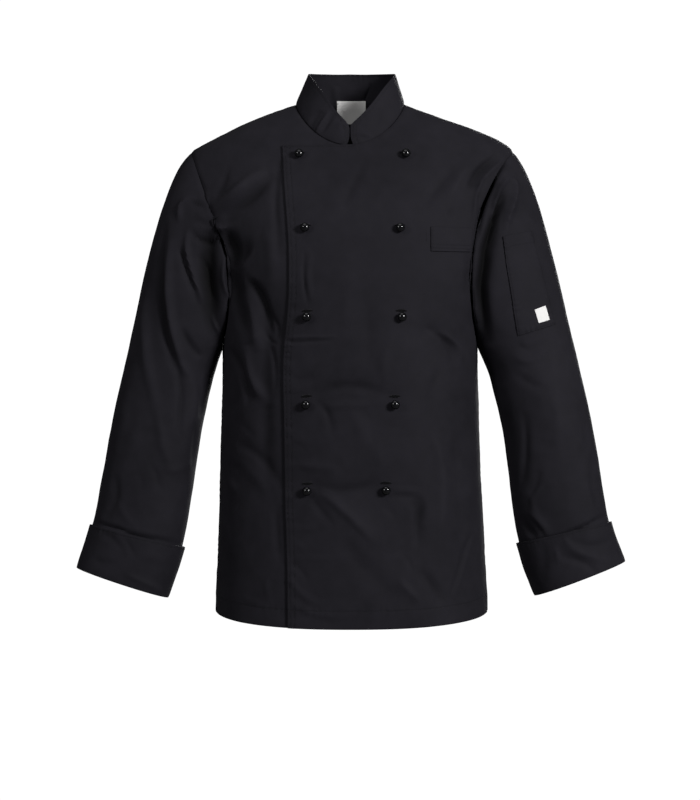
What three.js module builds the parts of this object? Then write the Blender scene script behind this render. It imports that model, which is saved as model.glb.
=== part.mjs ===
// A double-breasted chef jacket in the form that it takes when worn, with nobody in it.
// Millimetres, +Z up. The front faces -Y and the wearer's left is +X.
// The origin is the middle of the neck, level with the inner ends of the shoulder seams.

import * as THREE from "three";

const { clamp, degToRad, lerp, smoothstep } = THREE.MathUtils;

// Cloth
const CLOTH = 2;
const SEAM_GAP = 0.3;
const RESTING_GAP = 0.8;
const SLEEVE_POCKET_GAP = 0.95;

// Lengths of the body, down from the neck
const HEM_Z = -743;
const VENT_TOP_Z = -662;
const UNDERARM_Z = -350;
const SHOULDER_Z = -68;
const SHOULDER_BACK_DEPTH = 84;
const SHOULDER_SQUARENESS = 2.05;
const HEM_RISE_AT_SIDE = 17;
const HEM_RISE_AT_BACK = 21;
const HEM_RISE_STARTS_Z = -560;

// Neck
const NECK_HALF_WIDTH = 79;
const NECK_FRONT_DEPTH = 64;
const NECK_BACK_DEPTH = 63;
const NECK_BACK_RISE = 8;
const NECK_DROP_POWER = 1.45;
const NECK_LAST_ANGLE = degToRad(85);
const NECK_TIP_ANGLE = degToRad(88.5);

// Overlap of the two fronts
const OVERLAP_LIFT = CLOTH + RESTING_GAP;
const OVERLAP_FULL_X = 98;
const OVERLAP_GONE_X = 150;
const OVERLAP_FADES_FROM_Z = -58;
const OVERLAP_FADES_TO_Z = -20;
const UNDER_EDGE_X = 88;

// Side seams
const SIDE_SEAM_ANGLE = degToRad(86);
const SIDE_SEAM_SETTLES_Z = UNDERARM_Z - 60;
const VENT_OPENING = { left: degToRad(5), right: degToRad(2.5) };

// How finely each piece is divided
const BODY_ROWS = 12;
const TURN_STEPS = 24;
const NECK_STEPS = 8;
const LAP_COLUMNS = 5;
const OUTER_COLUMNS = 7;
const BACK_COLUMNS = 20;
const HEAD_ROWS = 7;
const SLEEVE_ROWS = 12;
const COLLAR_COLUMNS = 36;
const COLLAR_ROWS = 3;

// Level rings of the body, from the hem to the shoulder points
const BODY = [
  { z: -743, right: 193.5, left: 198, front: 117, back: 112, squareness: 2.35 },
  { z: -650, right: 190.5, left: 194.5, front: 115, back: 107, squareness: 2.35 },
  { z: -540, right: 187.5, left: 189, front: 116, back: 104, squareness: 2.35 },
  { z: -450, right: 185, left: 186, front: 120, back: 106, squareness: 2.35 },
  { z: -350, right: 184, left: 184, front: 125, back: 112, squareness: 2.3 },
  { z: -290, right: 191, left: 191, front: 125, back: 117, squareness: 2.25 },
  { z: -230, right: 210, left: 210, front: 120, back: 119, squareness: 2.2 },
  { z: -170, right: 236, left: 236, front: 107, back: 114, squareness: 2.15 },
  { z: -120, right: 247, left: 250, front: 88, back: 103, squareness: 2.1 },
  { z: -90, right: 244, left: 249, front: 74, back: 93, squareness: 2.05 },
  { z: -68, right: 229, left: 236, front: 64, back: 84, squareness: 2.05 },
];

// The ridge of the shoulders, from the shoulder points to the neck
const SHOULDER = [
  { z: -68, right: 229, left: 236 },
  { z: -57, right: 209, left: 224 },
  { z: -46, right: 188, left: 202 },
  { z: -34, right: 165, left: 173 },
  { z: -23, right: 140, left: 141 },
  { z: -11, right: 108, left: 104 },
  { z: 0, right: 79, left: 79 },
];

// How far out the armhole seam lies at each height
const ARMHOLE = [
  { z: -350, right: 184, left: 184 },
  { z: -330, right: 177, left: 178 },
  { z: -290, right: 171, left: 171 },
  { z: -230, right: 175, left: 171 },
  { z: -170, right: 192, left: 180 },
  { z: -120, right: 211, left: 200 },
  { z: -90, right: 221, left: 218 },
  { z: -68, right: 229, left: 236 },
];

// The free edge of the over front
const LAP_EDGE = [
  { z: -743, x: -85.5 },
  { z: -650, x: -86.5 },
  { z: -570, x: -89 },
  { z: -450, x: -90.5 },
  { z: -370, x: -92 },
  { z: -330, x: -88 },
  { z: -285, x: -84 },
  { z: -220, x: -84 },
  { z: -175, x: -87 },
  { z: -120, x: -92 },
  { z: -68, x: -95 },
];

// The middle line and the rings of the sleeves, from the turned end to below the armhole
const ARM = [
  { z: -690, outRight: 325.5, outLeft: 331, y: -30, halfWidth: 66.5, halfDepth: 50 },
  { z: -620, outRight: 303, outLeft: 306, y: -26, halfWidth: 67, halfDepth: 52 },
  { z: -540, outRight: 289, outLeft: 293, y: -20, halfWidth: 66, halfDepth: 54 },
  { z: -460, outRight: 276, outLeft: 282, y: -12, halfWidth: 64.5, halfDepth: 57 },
  { z: -385, outRight: 260, outLeft: 265, y: -4, halfWidth: 64.5, halfDepth: 60 },
];
const ARM_TOP_Z = -385;
const ARM_END_Z = { right: -684, left: -678 };
const ARM_SQUARENESS = 2.1;
const ARMHOLE_MIDDLE_Z = (SHOULDER_Z + UNDERARM_Z) / 2;
const ARMHOLE_HALF_HEIGHT = (SHOULDER_Z - UNDERARM_Z) / 2;

// How the sleeve head leaves the armhole and how it joins the arm
const HEAD_LEAVE_LENGTH = { right: 0.46, left: 0.38 };
const HEAD_JOIN_LENGTH = 0.8;
const HEAD_DROP_AT_TOP = 0.4;
const HEAD_DROP_AT_UNDERARM = 0.93;

// Turned-back cuffs
const CUFF_DEPTH = 70;
const CUFF_WALL = 2.6;
const CUFF_CLEARANCE = 1.2;
const CUFF_OVERHANG = 2;
const CUFF_ROWS = 3;

// Stand collar, by the angle round the neck from the front
const COLLAR = [
  { angle: 0, topZ: -38 },
  { angle: 16, topZ: -21 },
  { angle: 27, topZ: -7 },
  { angle: 48, topZ: 19 },
  { angle: 70, topZ: 36 },
  { angle: 90, topZ: 43.5 },
  { angle: 135, topZ: 49.5 },
  { angle: 180, topZ: 52 },
];
const COLLAR_TOP_HALF_WIDTH = 63;
const COLLAR_TOP_DEPTH = 54;
const COLLAR_TOP_SHIFT = 3;
const COLLAR_LIFT = 0.9;
const COLLAR_FRONT_GAP = 0.7;
const COLLAR_NOTCH_HALF_WIDTH = 4.6;

// Large folds, placed in the view from the front; a trough has a height below nought
const FOLDS = [
  { face: "front", x0: -123, z0: -97, x1: -181, z1: -163, height: 5, spread: 13 },
  { face: "front", x0: -108, z0: -112, x1: -172, z1: -176, height: -6, spread: 13 },
  { face: "front", x0: -176, z0: -200, x1: -168, z1: -232, height: -7, spread: 18 },
  { face: "front", x0: -136, z0: -262, x1: -108, z1: -335, height: -5, spread: 16 },
  { face: "front", x0: -150, z0: -320, x1: -146, z1: -430, height: 4, spread: 15 },
  { face: "front", x0: -42, z0: -410, x1: 44, z1: -424, height: -4, spread: 14 },
  { face: "front", x0: -48, z0: -532, x1: 42, z1: -548, height: -5, spread: 15 },
  { face: "front", x0: -40, z0: -562, x1: 30, z1: -622, height: 4, spread: 15 },
  { face: "front", x0: 125, z0: -480, x1: 123, z1: -640, height: 5, spread: 16 },
  { face: "front", x0: 62, z0: -664, x1: 98, z1: -706, height: 5, spread: 15 },
  { face: "front", x0: 104, z0: -330, x1: 148, z1: -372, height: -5, spread: 15 },
  { face: "front", x0: 168, z0: -95, x1: 132, z1: -140, height: 4, spread: 15 },
  { face: "front", x0: -254, z0: -200, x1: -243, z1: -340, height: 6, spread: 14 },
  { face: "front", x0: -240, z0: -350, x1: -232, z1: -470, height: 5, spread: 14 },
  { face: "front", x0: -226, z0: -190, x1: -212, z1: -300, height: -6, spread: 13 },
  { face: "front", x0: 219, z0: -118, x1: 196, z1: -200, height: 7, spread: 12 },
  { face: "front", x0: 228, z0: -123, x1: 214, z1: -192, height: -6, spread: 12 },
  { face: "front", x0: 262, z0: -400, x1: 300, z1: -470, height: 4, spread: 15 },
  { face: "front", x0: -298, z0: -430, x1: -270, z1: -500, height: -4, spread: 15 },
  { face: "back", x0: 128, z0: -120, x1: 60, z1: -230, height: 4, spread: 18 },
  { face: "back", x0: -124, z0: -130, x1: -66, z1: -250, height: 4, spread: 18 },
  { face: "back", x0: -90, z0: -390, x1: -104, z1: -640, height: 5, spread: 20 },
  { face: "back", x0: 84, z0: -430, x1: 96, z1: -690, height: 5, spread: 20 },
  { face: "back", x0: 6, z0: -500, x1: -4, z1: -720, height: -5, spread: 24 },
  { face: "back", x0: 150, z0: -300, x1: 138, z1: -420, height: -5, spread: 17 },
  { face: "back", x0: -252, z0: -220, x1: -262, z1: -400, height: 5, spread: 15 },
  { face: "back", x0: 256, z0: -240, x1: 282, z1: -430, height: 5, spread: 15 },
];

// Pieces that lie on others, by their corners in the view from the front
const CHEST_POCKET = {
  bottomLeft: [112, -220],
  bottomRight: [168, -219],
  topLeft: [112, -185],
  topRight: [171, -185],
  columns: 7,
  rows: 4,
};
const SLEEVE_POCKET = {
  bottomLeft: [236, -336],
  bottomRight: [291, -319],
  topLeft: [213, -196],
  topRight: [258, -186],
  columns: 8,
  rows: 14,
};
const SLEEVE_LABEL = {
  bottomLeft: [265, -318],
  bottomRight: [281, -313],
  topLeft: [259, -299],
  topRight: [275, -293],
  columns: 3,
  rows: 3,
};
const POCKET_WALL = 1.6;
const LABEL_WALL = 1;

// Neck label, hanging from the foot of the collar at the back
const NECK_LABEL = { left: -19, right: 23, top: 13, bottom: -25, y: 59, columns: 4, rows: 3 };

// Stud buttons, five rows of two
const BUTTONS = [
  { z: -82, right: -71, left: 78 },
  { z: -188, right: -62, left: 69 },
  { z: -311, right: -59, left: 71 },
  { z: -432, right: -60, left: 62 },
  { z: -551, right: -59, left: 50 },
];
const BUTTON_PROFILE = [
  [0, 0],
  [2.4, 0],
  [2.4, 1.4],
  [5.2, 2.6],
  [6.4, 5.4],
  [5.4, 8.4],
  [3, 10.4],
  [0, 11.2],
];
const BUTTON_SIDES = 10;

// Colours
const BLACK_COTTON = { color: 0x101012, roughness: 0.85, metalness: 0 };
const BLACK_PLASTIC = { color: 0x0a0a0b, roughness: 0.15, metalness: 0 };
const WHITE_TAPE = { color: 0xe6e5e2, roughness: 0.7, metalness: 0 };

const PROBE = 0.5;
const PROBE_ANGLE = degToRad(0.5);
const PROBE_STATION = 0.01;
const ARC_SAMPLES = 80;
const FOLD_FULL_WHERE_FACING = 0.5;

const steps = (from, to, count) =>
  Array.from({ length: count + 1 }, (_, i) => lerp(from, to, i / count));

// A smooth reading of one column of a table, held level past its ends
function read(table, key, column, where) {
  const last = table.length - 1;
  const slope = (i) => {
    const before = table[Math.max(i - 1, 0)];
    const after = table[Math.min(i + 1, last)];
    return (after[column] - before[column]) / (after[key] - before[key]);
  };
  const place = clamp(where, table[0][key], table[last][key]);
  const i = clamp(table.filter((row) => row[key] <= place).length - 1, 0, last - 1);
  const span = table[i + 1][key] - table[i][key];
  return hermite(
    table[i][column],
    table[i + 1][column],
    slope(i) * span,
    slope(i + 1) * span,
    (place - table[i][key]) / span,
  );
}

function hermite(from, to, leave, join, t) {
  const toShare = t * t * (3 - 2 * t);
  const leaveShare = t * (1 - t) * (1 - t);
  const joinShare = t * t * (t - 1);
  return from + (to - from) * toShare + leave * leaveShare + join * joinShare;
}

const bend = (value, squareness) => Math.sign(value) * Math.abs(value) ** (2 / squareness);

// The seam where the collar is sewn on, by the angle from the front
function neck(angle) {
  const forward = Math.cos(angle);
  const depth = forward > 0 ? NECK_FRONT_DEPTH : NECK_BACK_DEPTH;
  const height =
    forward > 0 ? SHOULDER_Z * forward ** NECK_DROP_POWER : NECK_BACK_RISE * -forward;
  return new THREE.Vector3(NECK_HALF_WIDTH * Math.sin(angle), -depth * forward, height);
}

const neckAngle = (z) => Math.acos(clamp(z / SHOULDER_Z, 0, 1) ** (1 / NECK_DROP_POWER));

const sideName = (side) => (side > 0 ? "left" : "right");

// The size of the body's level ring at a height, on one side of the middle
function ring(z, side) {
  if (z <= SHOULDER_Z) {
    return {
      halfWidth: read(BODY, "z", sideName(side), z),
      front: read(BODY, "z", "front", z),
      back: read(BODY, "z", "back", z),
      squareness: read(BODY, "z", "squareness", z),
    };
  }
  const rise = clamp(1 - z / SHOULDER_Z, 0, 1);
  const halfWidth = read(SHOULDER, "z", sideName(side), z);
  const seam = neck(neckAngle(z));
  const share = clamp(seam.x / (halfWidth + PROBE), 0, 1) ** SHOULDER_SQUARENESS;
  return {
    halfWidth,
    front: -seam.y / (1 - share) ** (1 / SHOULDER_SQUARENESS),
    back: lerp(SHOULDER_BACK_DEPTH, NECK_BACK_DEPTH, rise),
    squareness: SHOULDER_SQUARENESS,
  };
}

// A point of the body, by height and by the angle from the front
function body(z, angle) {
  const { halfWidth, front, back, squareness } = ring(z, Math.sin(angle));
  const forward = Math.cos(angle);
  const depth = forward > 0 ? front : back;
  const hemRise = lerp(HEM_RISE_AT_SIDE, forward > 0 ? 0 : HEM_RISE_AT_BACK, Math.abs(forward));
  const lift = hemRise * smoothstep(-z, -HEM_RISE_STARTS_Z, -HEM_Z);
  return new THREE.Vector3(
    halfWidth * bend(Math.sin(angle), squareness),
    -depth * bend(forward, squareness),
    z + lift,
  );
}

function bodyNormal(z, angle) {
  const around = body(z, angle + PROBE_ANGLE).sub(body(z, angle - PROBE_ANGLE));
  const up = body(z + PROBE, angle).sub(body(z - PROBE, angle));
  return around.cross(up).normalize();
}

function angleAt(z, x, atBack = false) {
  const { halfWidth, squareness } = ring(z, x);
  const share = clamp(Math.abs(x) / halfWidth, 0, 1) ** (squareness / 2);
  const angle = Math.sign(x) * Math.asin(share);
  return atBack ? Math.PI - angle : angle;
}

// Angles that divide a stretch of a ring evenly by its length
function evenAngles(z, from, to, count) {
  const angles = steps(from, to, ARC_SAMPLES);
  const points = angles.map((angle) => body(z, angle));
  const lengths = [0];
  for (let i = 1; i <= ARC_SAMPLES; i += 1) {
    lengths.push(lengths[i - 1] + points[i].distanceTo(points[i - 1]));
  }
  return steps(0, lengths[ARC_SAMPLES], count).map((length) => {
    const i = clamp(lengths.filter((l) => l <= length).length - 1, 0, ARC_SAMPLES - 1);
    const t = (length - lengths[i]) / (lengths[i + 1] - lengths[i]);
    return lerp(angles[i], angles[i + 1], clamp(t, 0, 1));
  });
}

// How far the large folds push a point out along its normal
function foldHeight(point, normal) {
  let height = 0;
  for (const fold of FOLDS) {
    const towards = fold.face === "front" ? -normal.y : normal.y;
    const facing = clamp(towards / FOLD_FULL_WHERE_FACING, 0, 1);
    const start = new THREE.Vector2(fold.x0, fold.z0);
    const run = new THREE.Vector2(fold.x1, fold.z1).sub(start);
    const from = new THREE.Vector2(point.x, point.z).sub(start);
    const along = clamp(from.dot(run) / run.lengthSq(), 0, 1);
    const away = from.distanceTo(run.multiplyScalar(along)) / fold.spread;
    height += fold.height * facing * Math.exp(-away * away);
  }
  return height;
}

const moved = (point, direction, distance) => point.clone().addScaledVector(direction, distance);

// The two faces of a wall at a point: the outer one is lifted and folded
function faces(point, normal, lift = 0, thickness = CLOTH) {
  const outer = moved(point, normal, lift + foldHeight(point, normal));
  return { outer, inner: moved(outer, normal, -thickness) };
}

// A closed wall between a grid of outer points and one of inner points
function wall(cells, { round = false, flip = false, present = () => true } = {}) {
  const rows = cells.length;
  const columns = cells[0].length;
  const spans = round ? columns : columns - 1;
  const there = (i, j) => {
    const column = round ? (j + spans) % spans : j;
    return i >= 0 && i < rows - 1 && column >= 0 && column < spans && present(i, column);
  };
  const position = [];
  const numbers = new Map();
  const vertex = (face, i, j) => {
    const column = j % columns;
    const name = `${face} ${i} ${column}`;
    if (!numbers.has(name)) {
      numbers.set(name, numbers.size);
      position.push(...cells[i][column][face].toArray());
    }
    return numbers.get(name);
  };
  const index = [];
  const quad = (a, b, c, d) => index.push(...(flip ? [a, c, b, a, d, c] : [a, b, c, a, c, d]));
  const out = (i, j) => vertex("outer", i, j);
  const within = (i, j) => vertex("inner", i, j);
  for (let i = 0; i < rows - 1; i += 1) {
    for (let j = 0; j < spans; j += 1) {
      if (!there(i, j)) {
        continue;
      }
      quad(out(i, j), out(i, j + 1), out(i + 1, j + 1), out(i + 1, j));
      quad(within(i, j), within(i + 1, j), within(i + 1, j + 1), within(i, j + 1));
      if (!there(i - 1, j)) {
        quad(within(i, j), within(i, j + 1), out(i, j + 1), out(i, j));
      }
      if (!there(i + 1, j)) {
        quad(out(i + 1, j), out(i + 1, j + 1), within(i + 1, j + 1), within(i + 1, j));
      }
      if (!there(i, j - 1)) {
        quad(out(i, j), out(i + 1, j), within(i + 1, j), within(i, j));
      }
      if (!there(i, j + 1)) {
        quad(out(i + 1, j + 1), out(i, j + 1), within(i, j + 1), within(i + 1, j + 1));
      }
    }
  }
  const geometry = new THREE.BufferGeometry();
  geometry.setAttribute("position", new THREE.Float32BufferAttribute(position, 3));
  geometry.setIndex(index);
  return geometry;
}

// The armhole seam, by the turn round it from the shoulder point through the front
function armhole(side, turn) {
  const z = ARMHOLE_MIDDLE_Z + ARMHOLE_HALF_HEIGHT * Math.cos(turn);
  const atBack = Math.sin(turn) < 0;
  const angle = angleAt(z, side * read(ARMHOLE, "z", sideName(side), z), atBack);
  return { z, angle, point: body(z, angle) };
}

function armCentre(side, z) {
  const out = read(ARM, "z", side > 0 ? "outLeft" : "outRight", z);
  return new THREE.Vector3(side * out, read(ARM, "z", "y", z), z);
}

// The way down the arm; above its top it would turn upright, so the probe stops there
const armAxis = (side, z) =>
  armCentre(side, z - PROBE).sub(armCentre(side, Math.min(z + PROBE, ARM_TOP_Z))).normalize();

// A point of the ring that stands square to the arm at a height of its middle line
function armPoint(side, z, turn, grow = 0) {
  const axis = armAxis(side, z);
  const outward = new THREE.Vector3(side, 0, 0);
  outward.addScaledVector(axis, -outward.dot(axis)).normalize();
  const forward = new THREE.Vector3(0, -1, 0);
  forward.addScaledVector(axis, -forward.dot(axis));
  forward.addScaledVector(outward, -forward.dot(outward)).normalize();
  const wide = (read(ARM, "z", "halfWidth", z) + grow) * bend(Math.cos(turn), ARM_SQUARENESS);
  const deep = (read(ARM, "z", "halfDepth", z) + grow) * bend(Math.sin(turn), ARM_SQUARENESS);
  return armCentre(side, z).addScaledVector(outward, wide).addScaledVector(forward, deep);
}

// A point of the sleeve: the head is at 0 to 1 and the arm is at 1 to 2
function sleevePoint(side, station, turn) {
  if (station >= 1) {
    return armPoint(side, lerp(ARM_TOP_Z, ARM_END_Z[sideName(side)], station - 1), turn);
  }
  const start = armhole(side, turn).point;
  const end = armPoint(side, ARM_TOP_Z, turn);
  const axis = armAxis(side, ARM_TOP_Z);
  const length = start.distanceTo(end);
  const low = ((1 - Math.cos(turn)) / 2) ** 2;
  const drop = lerp(HEAD_DROP_AT_TOP, HEAD_DROP_AT_UNDERARM, low);
  const leave = new THREE.Vector3(side, 0, 0).lerp(axis, drop).normalize();
  leave.multiplyScalar(length * HEAD_LEAVE_LENGTH[sideName(side)]);
  const join = axis.clone().multiplyScalar(length * HEAD_JOIN_LENGTH);
  const blend = (key) => hermite(start[key], end[key], leave[key], join[key], station);
  return new THREE.Vector3(blend("x"), blend("y"), blend("z"));
}

function sleeveNormal(side, station, turn) {
  const from = Math.max(station - PROBE_STATION, 0);
  const along = sleevePoint(side, station + PROBE_STATION, turn);
  along.sub(sleevePoint(side, from, turn));
  const around = sleevePoint(side, station, turn + PROBE_ANGLE);
  around.sub(sleevePoint(side, station, turn - PROBE_ANGLE));
  return around.cross(along).multiplyScalar(side).normalize();
}

// Where the body and the sleeve meet: the point, the shared normal and the way across the seam
function armholeSeam(side, turn) {
  const { z, angle, point } = armhole(side, turn);
  const normal = bodyNormal(z, angle).add(sleeveNormal(side, 0, turn)).normalize();
  const along = armhole(side, turn + PROBE_ANGLE).point;
  along.sub(armhole(side, turn - PROBE_ANGLE).point);
  const across = along.cross(normal).normalize();
  if (across.x * side < 0) {
    across.negate();
  }
  return { z, angle, point, normal, across };
}

const armholeTurns = steps(Math.PI, 0, TURN_STEPS / 2);
const bodyHeights = steps(HEM_Z, UNDERARM_Z, BODY_ROWS).slice(0, -1);
const neckAngles = steps(0, Math.PI / 2, NECK_STEPS);
neckAngles[NECK_STEPS] = NECK_LAST_ANGLE;
const ROWS = [
  ...bodyHeights.map((z) => ({ z, stretch: "side" })),
  ...armholeTurns.map((turn) => ({ z: armhole(1, turn).z, stretch: "armhole", turn })),
  ...neckAngles.slice(1).map((angle) => ({ z: neck(angle).z, stretch: "shoulder", angle })),
];
const FIRST_SHOULDER_ROW = ROWS.findIndex((row) => row.stretch === "shoulder");

// The angle at which a front or the back ends on one side of a row
function sideAngle(row, side, atBack) {
  if (row.stretch === "armhole") {
    const turn = atBack ? -row.turn : row.turn;
    return armhole(side, turn).angle;
  }
  if (row.stretch === "shoulder") {
    return side * (Math.PI / 2);
  }
  const settled = smoothstep(-row.z, -UNDERARM_Z, -SIDE_SEAM_SETTLES_Z);
  const seam = lerp(Math.PI / 2, SIDE_SEAM_ANGLE, settled);
  const opened = clamp((row.z - VENT_TOP_Z) / (HEM_Z - VENT_TOP_Z), 0, 1);
  const pulled = atBack ? 0 : VENT_OPENING[sideName(side)] * opened;
  const angle = side * (seam - pulled);
  return atBack && side < 0 ? angle + 2 * Math.PI : angle;
}

// The two faces of a body panel where it meets the neighbour across a seam
function edgeFaces(row, angle, side, atBack, lift) {
  if (row.stretch === "armhole") {
    const seam = armholeSeam(side, atBack ? -row.turn : row.turn);
    const point = moved(seam.point, seam.across, -SEAM_GAP / 2);
    point.y += atBack ? SEAM_GAP : -SEAM_GAP;
    return faces(point, seam.normal, lift);
  }
  const inwards = atBack ? side : -side;
  const z = row.z;
  const away = body(z, angle + inwards * PROBE_ANGLE).sub(body(z, angle)).normalize();
  return faces(moved(body(z, angle), away, SEAM_GAP / 2), bodyNormal(z, angle), lift);
}

function overlapLift(x, z) {
  const across = 1 - smoothstep(x, OVERLAP_FULL_X, OVERLAP_GONE_X);
  const up = 1 - smoothstep(z, OVERLAP_FADES_FROM_Z, OVERLAP_FADES_TO_Z);
  return OVERLAP_LIFT * across * up;
}

// The angles of a row across a front, from its free edge or the collar's foot to its seam
function frontAngles(row, side) {
  const { z } = row;
  const seam = sideAngle(row, side, false);
  if (row.stretch === "shoulder") {
    const foot = angleAt(z, side * neck(row.angle).x);
    const shoulder = evenAngles(z, foot, seam, LAP_COLUMNS + OUTER_COLUMNS);
    return [...Array(LAP_COLUMNS).fill(foot), ...shoulder];
  }
  const lapEdge = angleAt(z, read(LAP_EDGE, "z", "x", z));
  const underEdge = angleAt(z, UNDER_EDGE_X);
  const [freeEdge, otherEdge] = side > 0 ? [lapEdge, underEdge] : [underEdge, lapEdge];
  return [
    ...evenAngles(z, freeEdge, 0, LAP_COLUMNS),
    ...evenAngles(z, 0, otherEdge, LAP_COLUMNS).slice(1),
    ...evenAngles(z, otherEdge, seam, OUTER_COLUMNS).slice(1),
  ];
}

// One front; both have the same columns where they overlap, so that they fold together
function front(side, isOver) {
  const lastColumn = 2 * LAP_COLUMNS + OUTER_COLUMNS;
  const seamColumn = side > 0 ? lastColumn : 0;
  const cells = ROWS.map((row) => {
    const angles = frontAngles(row, side);
    if (side < 0) {
      angles.reverse();
    }
    return angles.map((angle, j) => {
      const point = body(row.z, angle);
      const lift = isOver ? overlapLift(point.x, row.z) : 0;
      return j === seamColumn
        ? edgeFaces(row, angle, side, false, lift)
        : faces(point, bodyNormal(row.z, angle), lift);
    });
  });
  const isLap = (j) => (side > 0 ? j < LAP_COLUMNS : j >= lastColumn - LAP_COLUMNS);
  return wall(cells, { present: (i, j) => i < FIRST_SHOULDER_ROW - 1 || !isLap(j) });
}

function back() {
  const cells = ROWS.map((row) => {
    const from = sideAngle(row, 1, true);
    const right = sideAngle(row, -1, true);
    const to = right < 0 ? right + 2 * Math.PI : right;
    return evenAngles(row.z, from, to, BACK_COLUMNS).map((angle, j) => {
      if (j === 0) {
        return edgeFaces(row, angle, 1, true, 0);
      }
      if (j === BACK_COLUMNS) {
        return edgeFaces(row, angle, -1, true, 0);
      }
      return faces(body(row.z, angle), bodyNormal(row.z, angle));
    });
  });
  const top = steps(NECK_TIP_ANGLE, 2 * Math.PI - NECK_TIP_ANGLE, BACK_COLUMNS);
  const last = cells[cells.length - 1];
  cells.push(
    top.map((angle, j) => {
      const normal = last[j].outer.clone().sub(last[j].inner).normalize();
      return faces(neck(angle), normal);
    }),
  );
  return wall(cells);
}

function sleeve(side) {
  const head = steps(0, 1, HEAD_ROWS).slice(0, -1);
  const stations = [...head, ...steps(1, 2, SLEEVE_ROWS)];
  const turns = steps(0, 2 * Math.PI, TURN_STEPS).slice(0, -1);
  const cells = stations.map((station) =>
    turns.map((turn) => {
      if (station === 0) {
        const seam = armholeSeam(side, turn);
        return faces(moved(seam.point, seam.across, SEAM_GAP / 2), seam.normal);
      }
      return faces(sleevePoint(side, station, turn), sleeveNormal(side, station, turn));
    }),
  );
  return wall(cells, { round: true, flip: side < 0 });
}

// A band round the end of the sleeve, whose foot turns in under the sleeve's end
function cuff(side) {
  const sleeveEndZ = ARM_END_Z[sideName(side)];
  const slant = armAxis(side, sleeveEndZ).z;
  const endZ = sleeveEndZ + CUFF_OVERHANG * slant;
  const startZ = endZ - CUFF_DEPTH * slant;
  const turns = steps(0, 2 * Math.PI, TURN_STEPS).slice(0, -1);
  const cells = steps(startZ, endZ, CUFF_ROWS).map((z) =>
    turns.map((turn) => ({
      outer: armPoint(side, z, turn, CUFF_CLEARANCE + CUFF_WALL),
      inner: armPoint(side, z, turn, CUFF_CLEARANCE),
    })),
  );
  return wall(cells, { round: true, flip: side < 0 });
}

// The stand collar: a band from the neck seam to its top, whose ends meet at the front
function collarPoint(angle, share) {
  const foot = neck(angle);
  foot.z += COLLAR_LIFT;
  const fromFront = Math.acos(Math.cos(angle));
  const top = new THREE.Vector3(
    COLLAR_TOP_HALF_WIDTH * Math.sin(angle) + COLLAR_TOP_SHIFT * Math.sin(fromFront),
    -COLLAR_TOP_DEPTH * Math.cos(angle),
    read(COLLAR, "angle", "topZ", THREE.MathUtils.radToDeg(fromFront)),
  );
  return foot.lerp(top, share);
}

function collar() {
  const cells = steps(0, 1, COLLAR_ROWS).map((share, i) => {
    const halfGap = i === 0 ? COLLAR_NOTCH_HALF_WIDTH : COLLAR_FRONT_GAP;
    const start = Math.asin(halfGap / NECK_HALF_WIDTH);
    return steps(start, 2 * Math.PI - start, COLLAR_COLUMNS).map((angle) => {
      const around = collarPoint(angle + PROBE_ANGLE, share);
      around.sub(collarPoint(angle - PROBE_ANGLE, share));
      const up = collarPoint(angle, 1).sub(collarPoint(angle, 0));
      const outer = collarPoint(angle, share);
      return { outer, inner: moved(outer, around.cross(up).normalize(), -CLOTH) };
    });
  });
  return wall(cells);
}

// The foremost point of a piece at a place in the view from the front, and its normal there
function surfaceAt(geometry, x, z) {
  const place = new THREE.Vector3(x, 0, z);
  const flat = new THREE.Triangle();
  const real = new THREE.Triangle();
  const weights = new THREE.Vector3();
  const found = { point: new THREE.Vector3(x, Infinity, z), normal: new THREE.Vector3() };
  const { index } = geometry;
  for (let i = 0; i < index.count; i += 3) {
    const corners = [index.getX(i), index.getX(i + 1), index.getX(i + 2)];
    real.setFromAttributeAndIndices(geometry.attributes.position, ...corners);
    flat.copy(real);
    flat.a.y = 0;
    flat.b.y = 0;
    flat.c.y = 0;
    if (flat.getArea() === 0 || !flat.containsPoint(place)) {
      continue;
    }
    flat.getBarycoord(place, weights);
    const y = real.a.y * weights.x + real.b.y * weights.y + real.c.y * weights.z;
    if (y < found.point.y) {
      found.point.y = y;
      real.getNormal(found.normal);
    }
  }
  return found;
}

// A piece that lies on another one, made from that one's points, moved out
function patch(base, outline, lift, thickness) {
  const corner = (name) => new THREE.Vector2(...outline[name]);
  const cells = steps(0, 1, outline.rows).map((up) => {
    const left = corner("bottomLeft").lerp(corner("topLeft"), up);
    const right = corner("bottomRight").lerp(corner("topRight"), up);
    return steps(0, 1, outline.columns).map((across) => {
      const place = left.clone().lerp(right, across);
      const { point, normal } = surfaceAt(base, place.x, place.y);
      const inner = moved(point, normal, lift);
      return { outer: moved(inner, normal, thickness), inner };
    });
  });
  return wall(cells);
}

function neckLabel() {
  const { left, right, top, bottom, y, columns, rows } = NECK_LABEL;
  const cells = steps(bottom, top, rows).map((z) =>
    steps(left, right, columns).map((x) => {
      const curve = Math.sqrt(1 - (x / NECK_HALF_WIDTH) ** 2);
      return {
        outer: new THREE.Vector3(x, (y - LABEL_WALL) * curve, z),
        inner: new THREE.Vector3(x, y * curve, z),
      };
    }),
  );
  return wall(cells);
}

const garment = new THREE.Group();

function add(name, geometry, finish) {
  geometry.computeVertexNormals();
  const mesh = new THREE.Mesh(geometry, new THREE.MeshStandardMaterial(finish));
  mesh.name = name;
  garment.add(mesh);
  return mesh;
}

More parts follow.
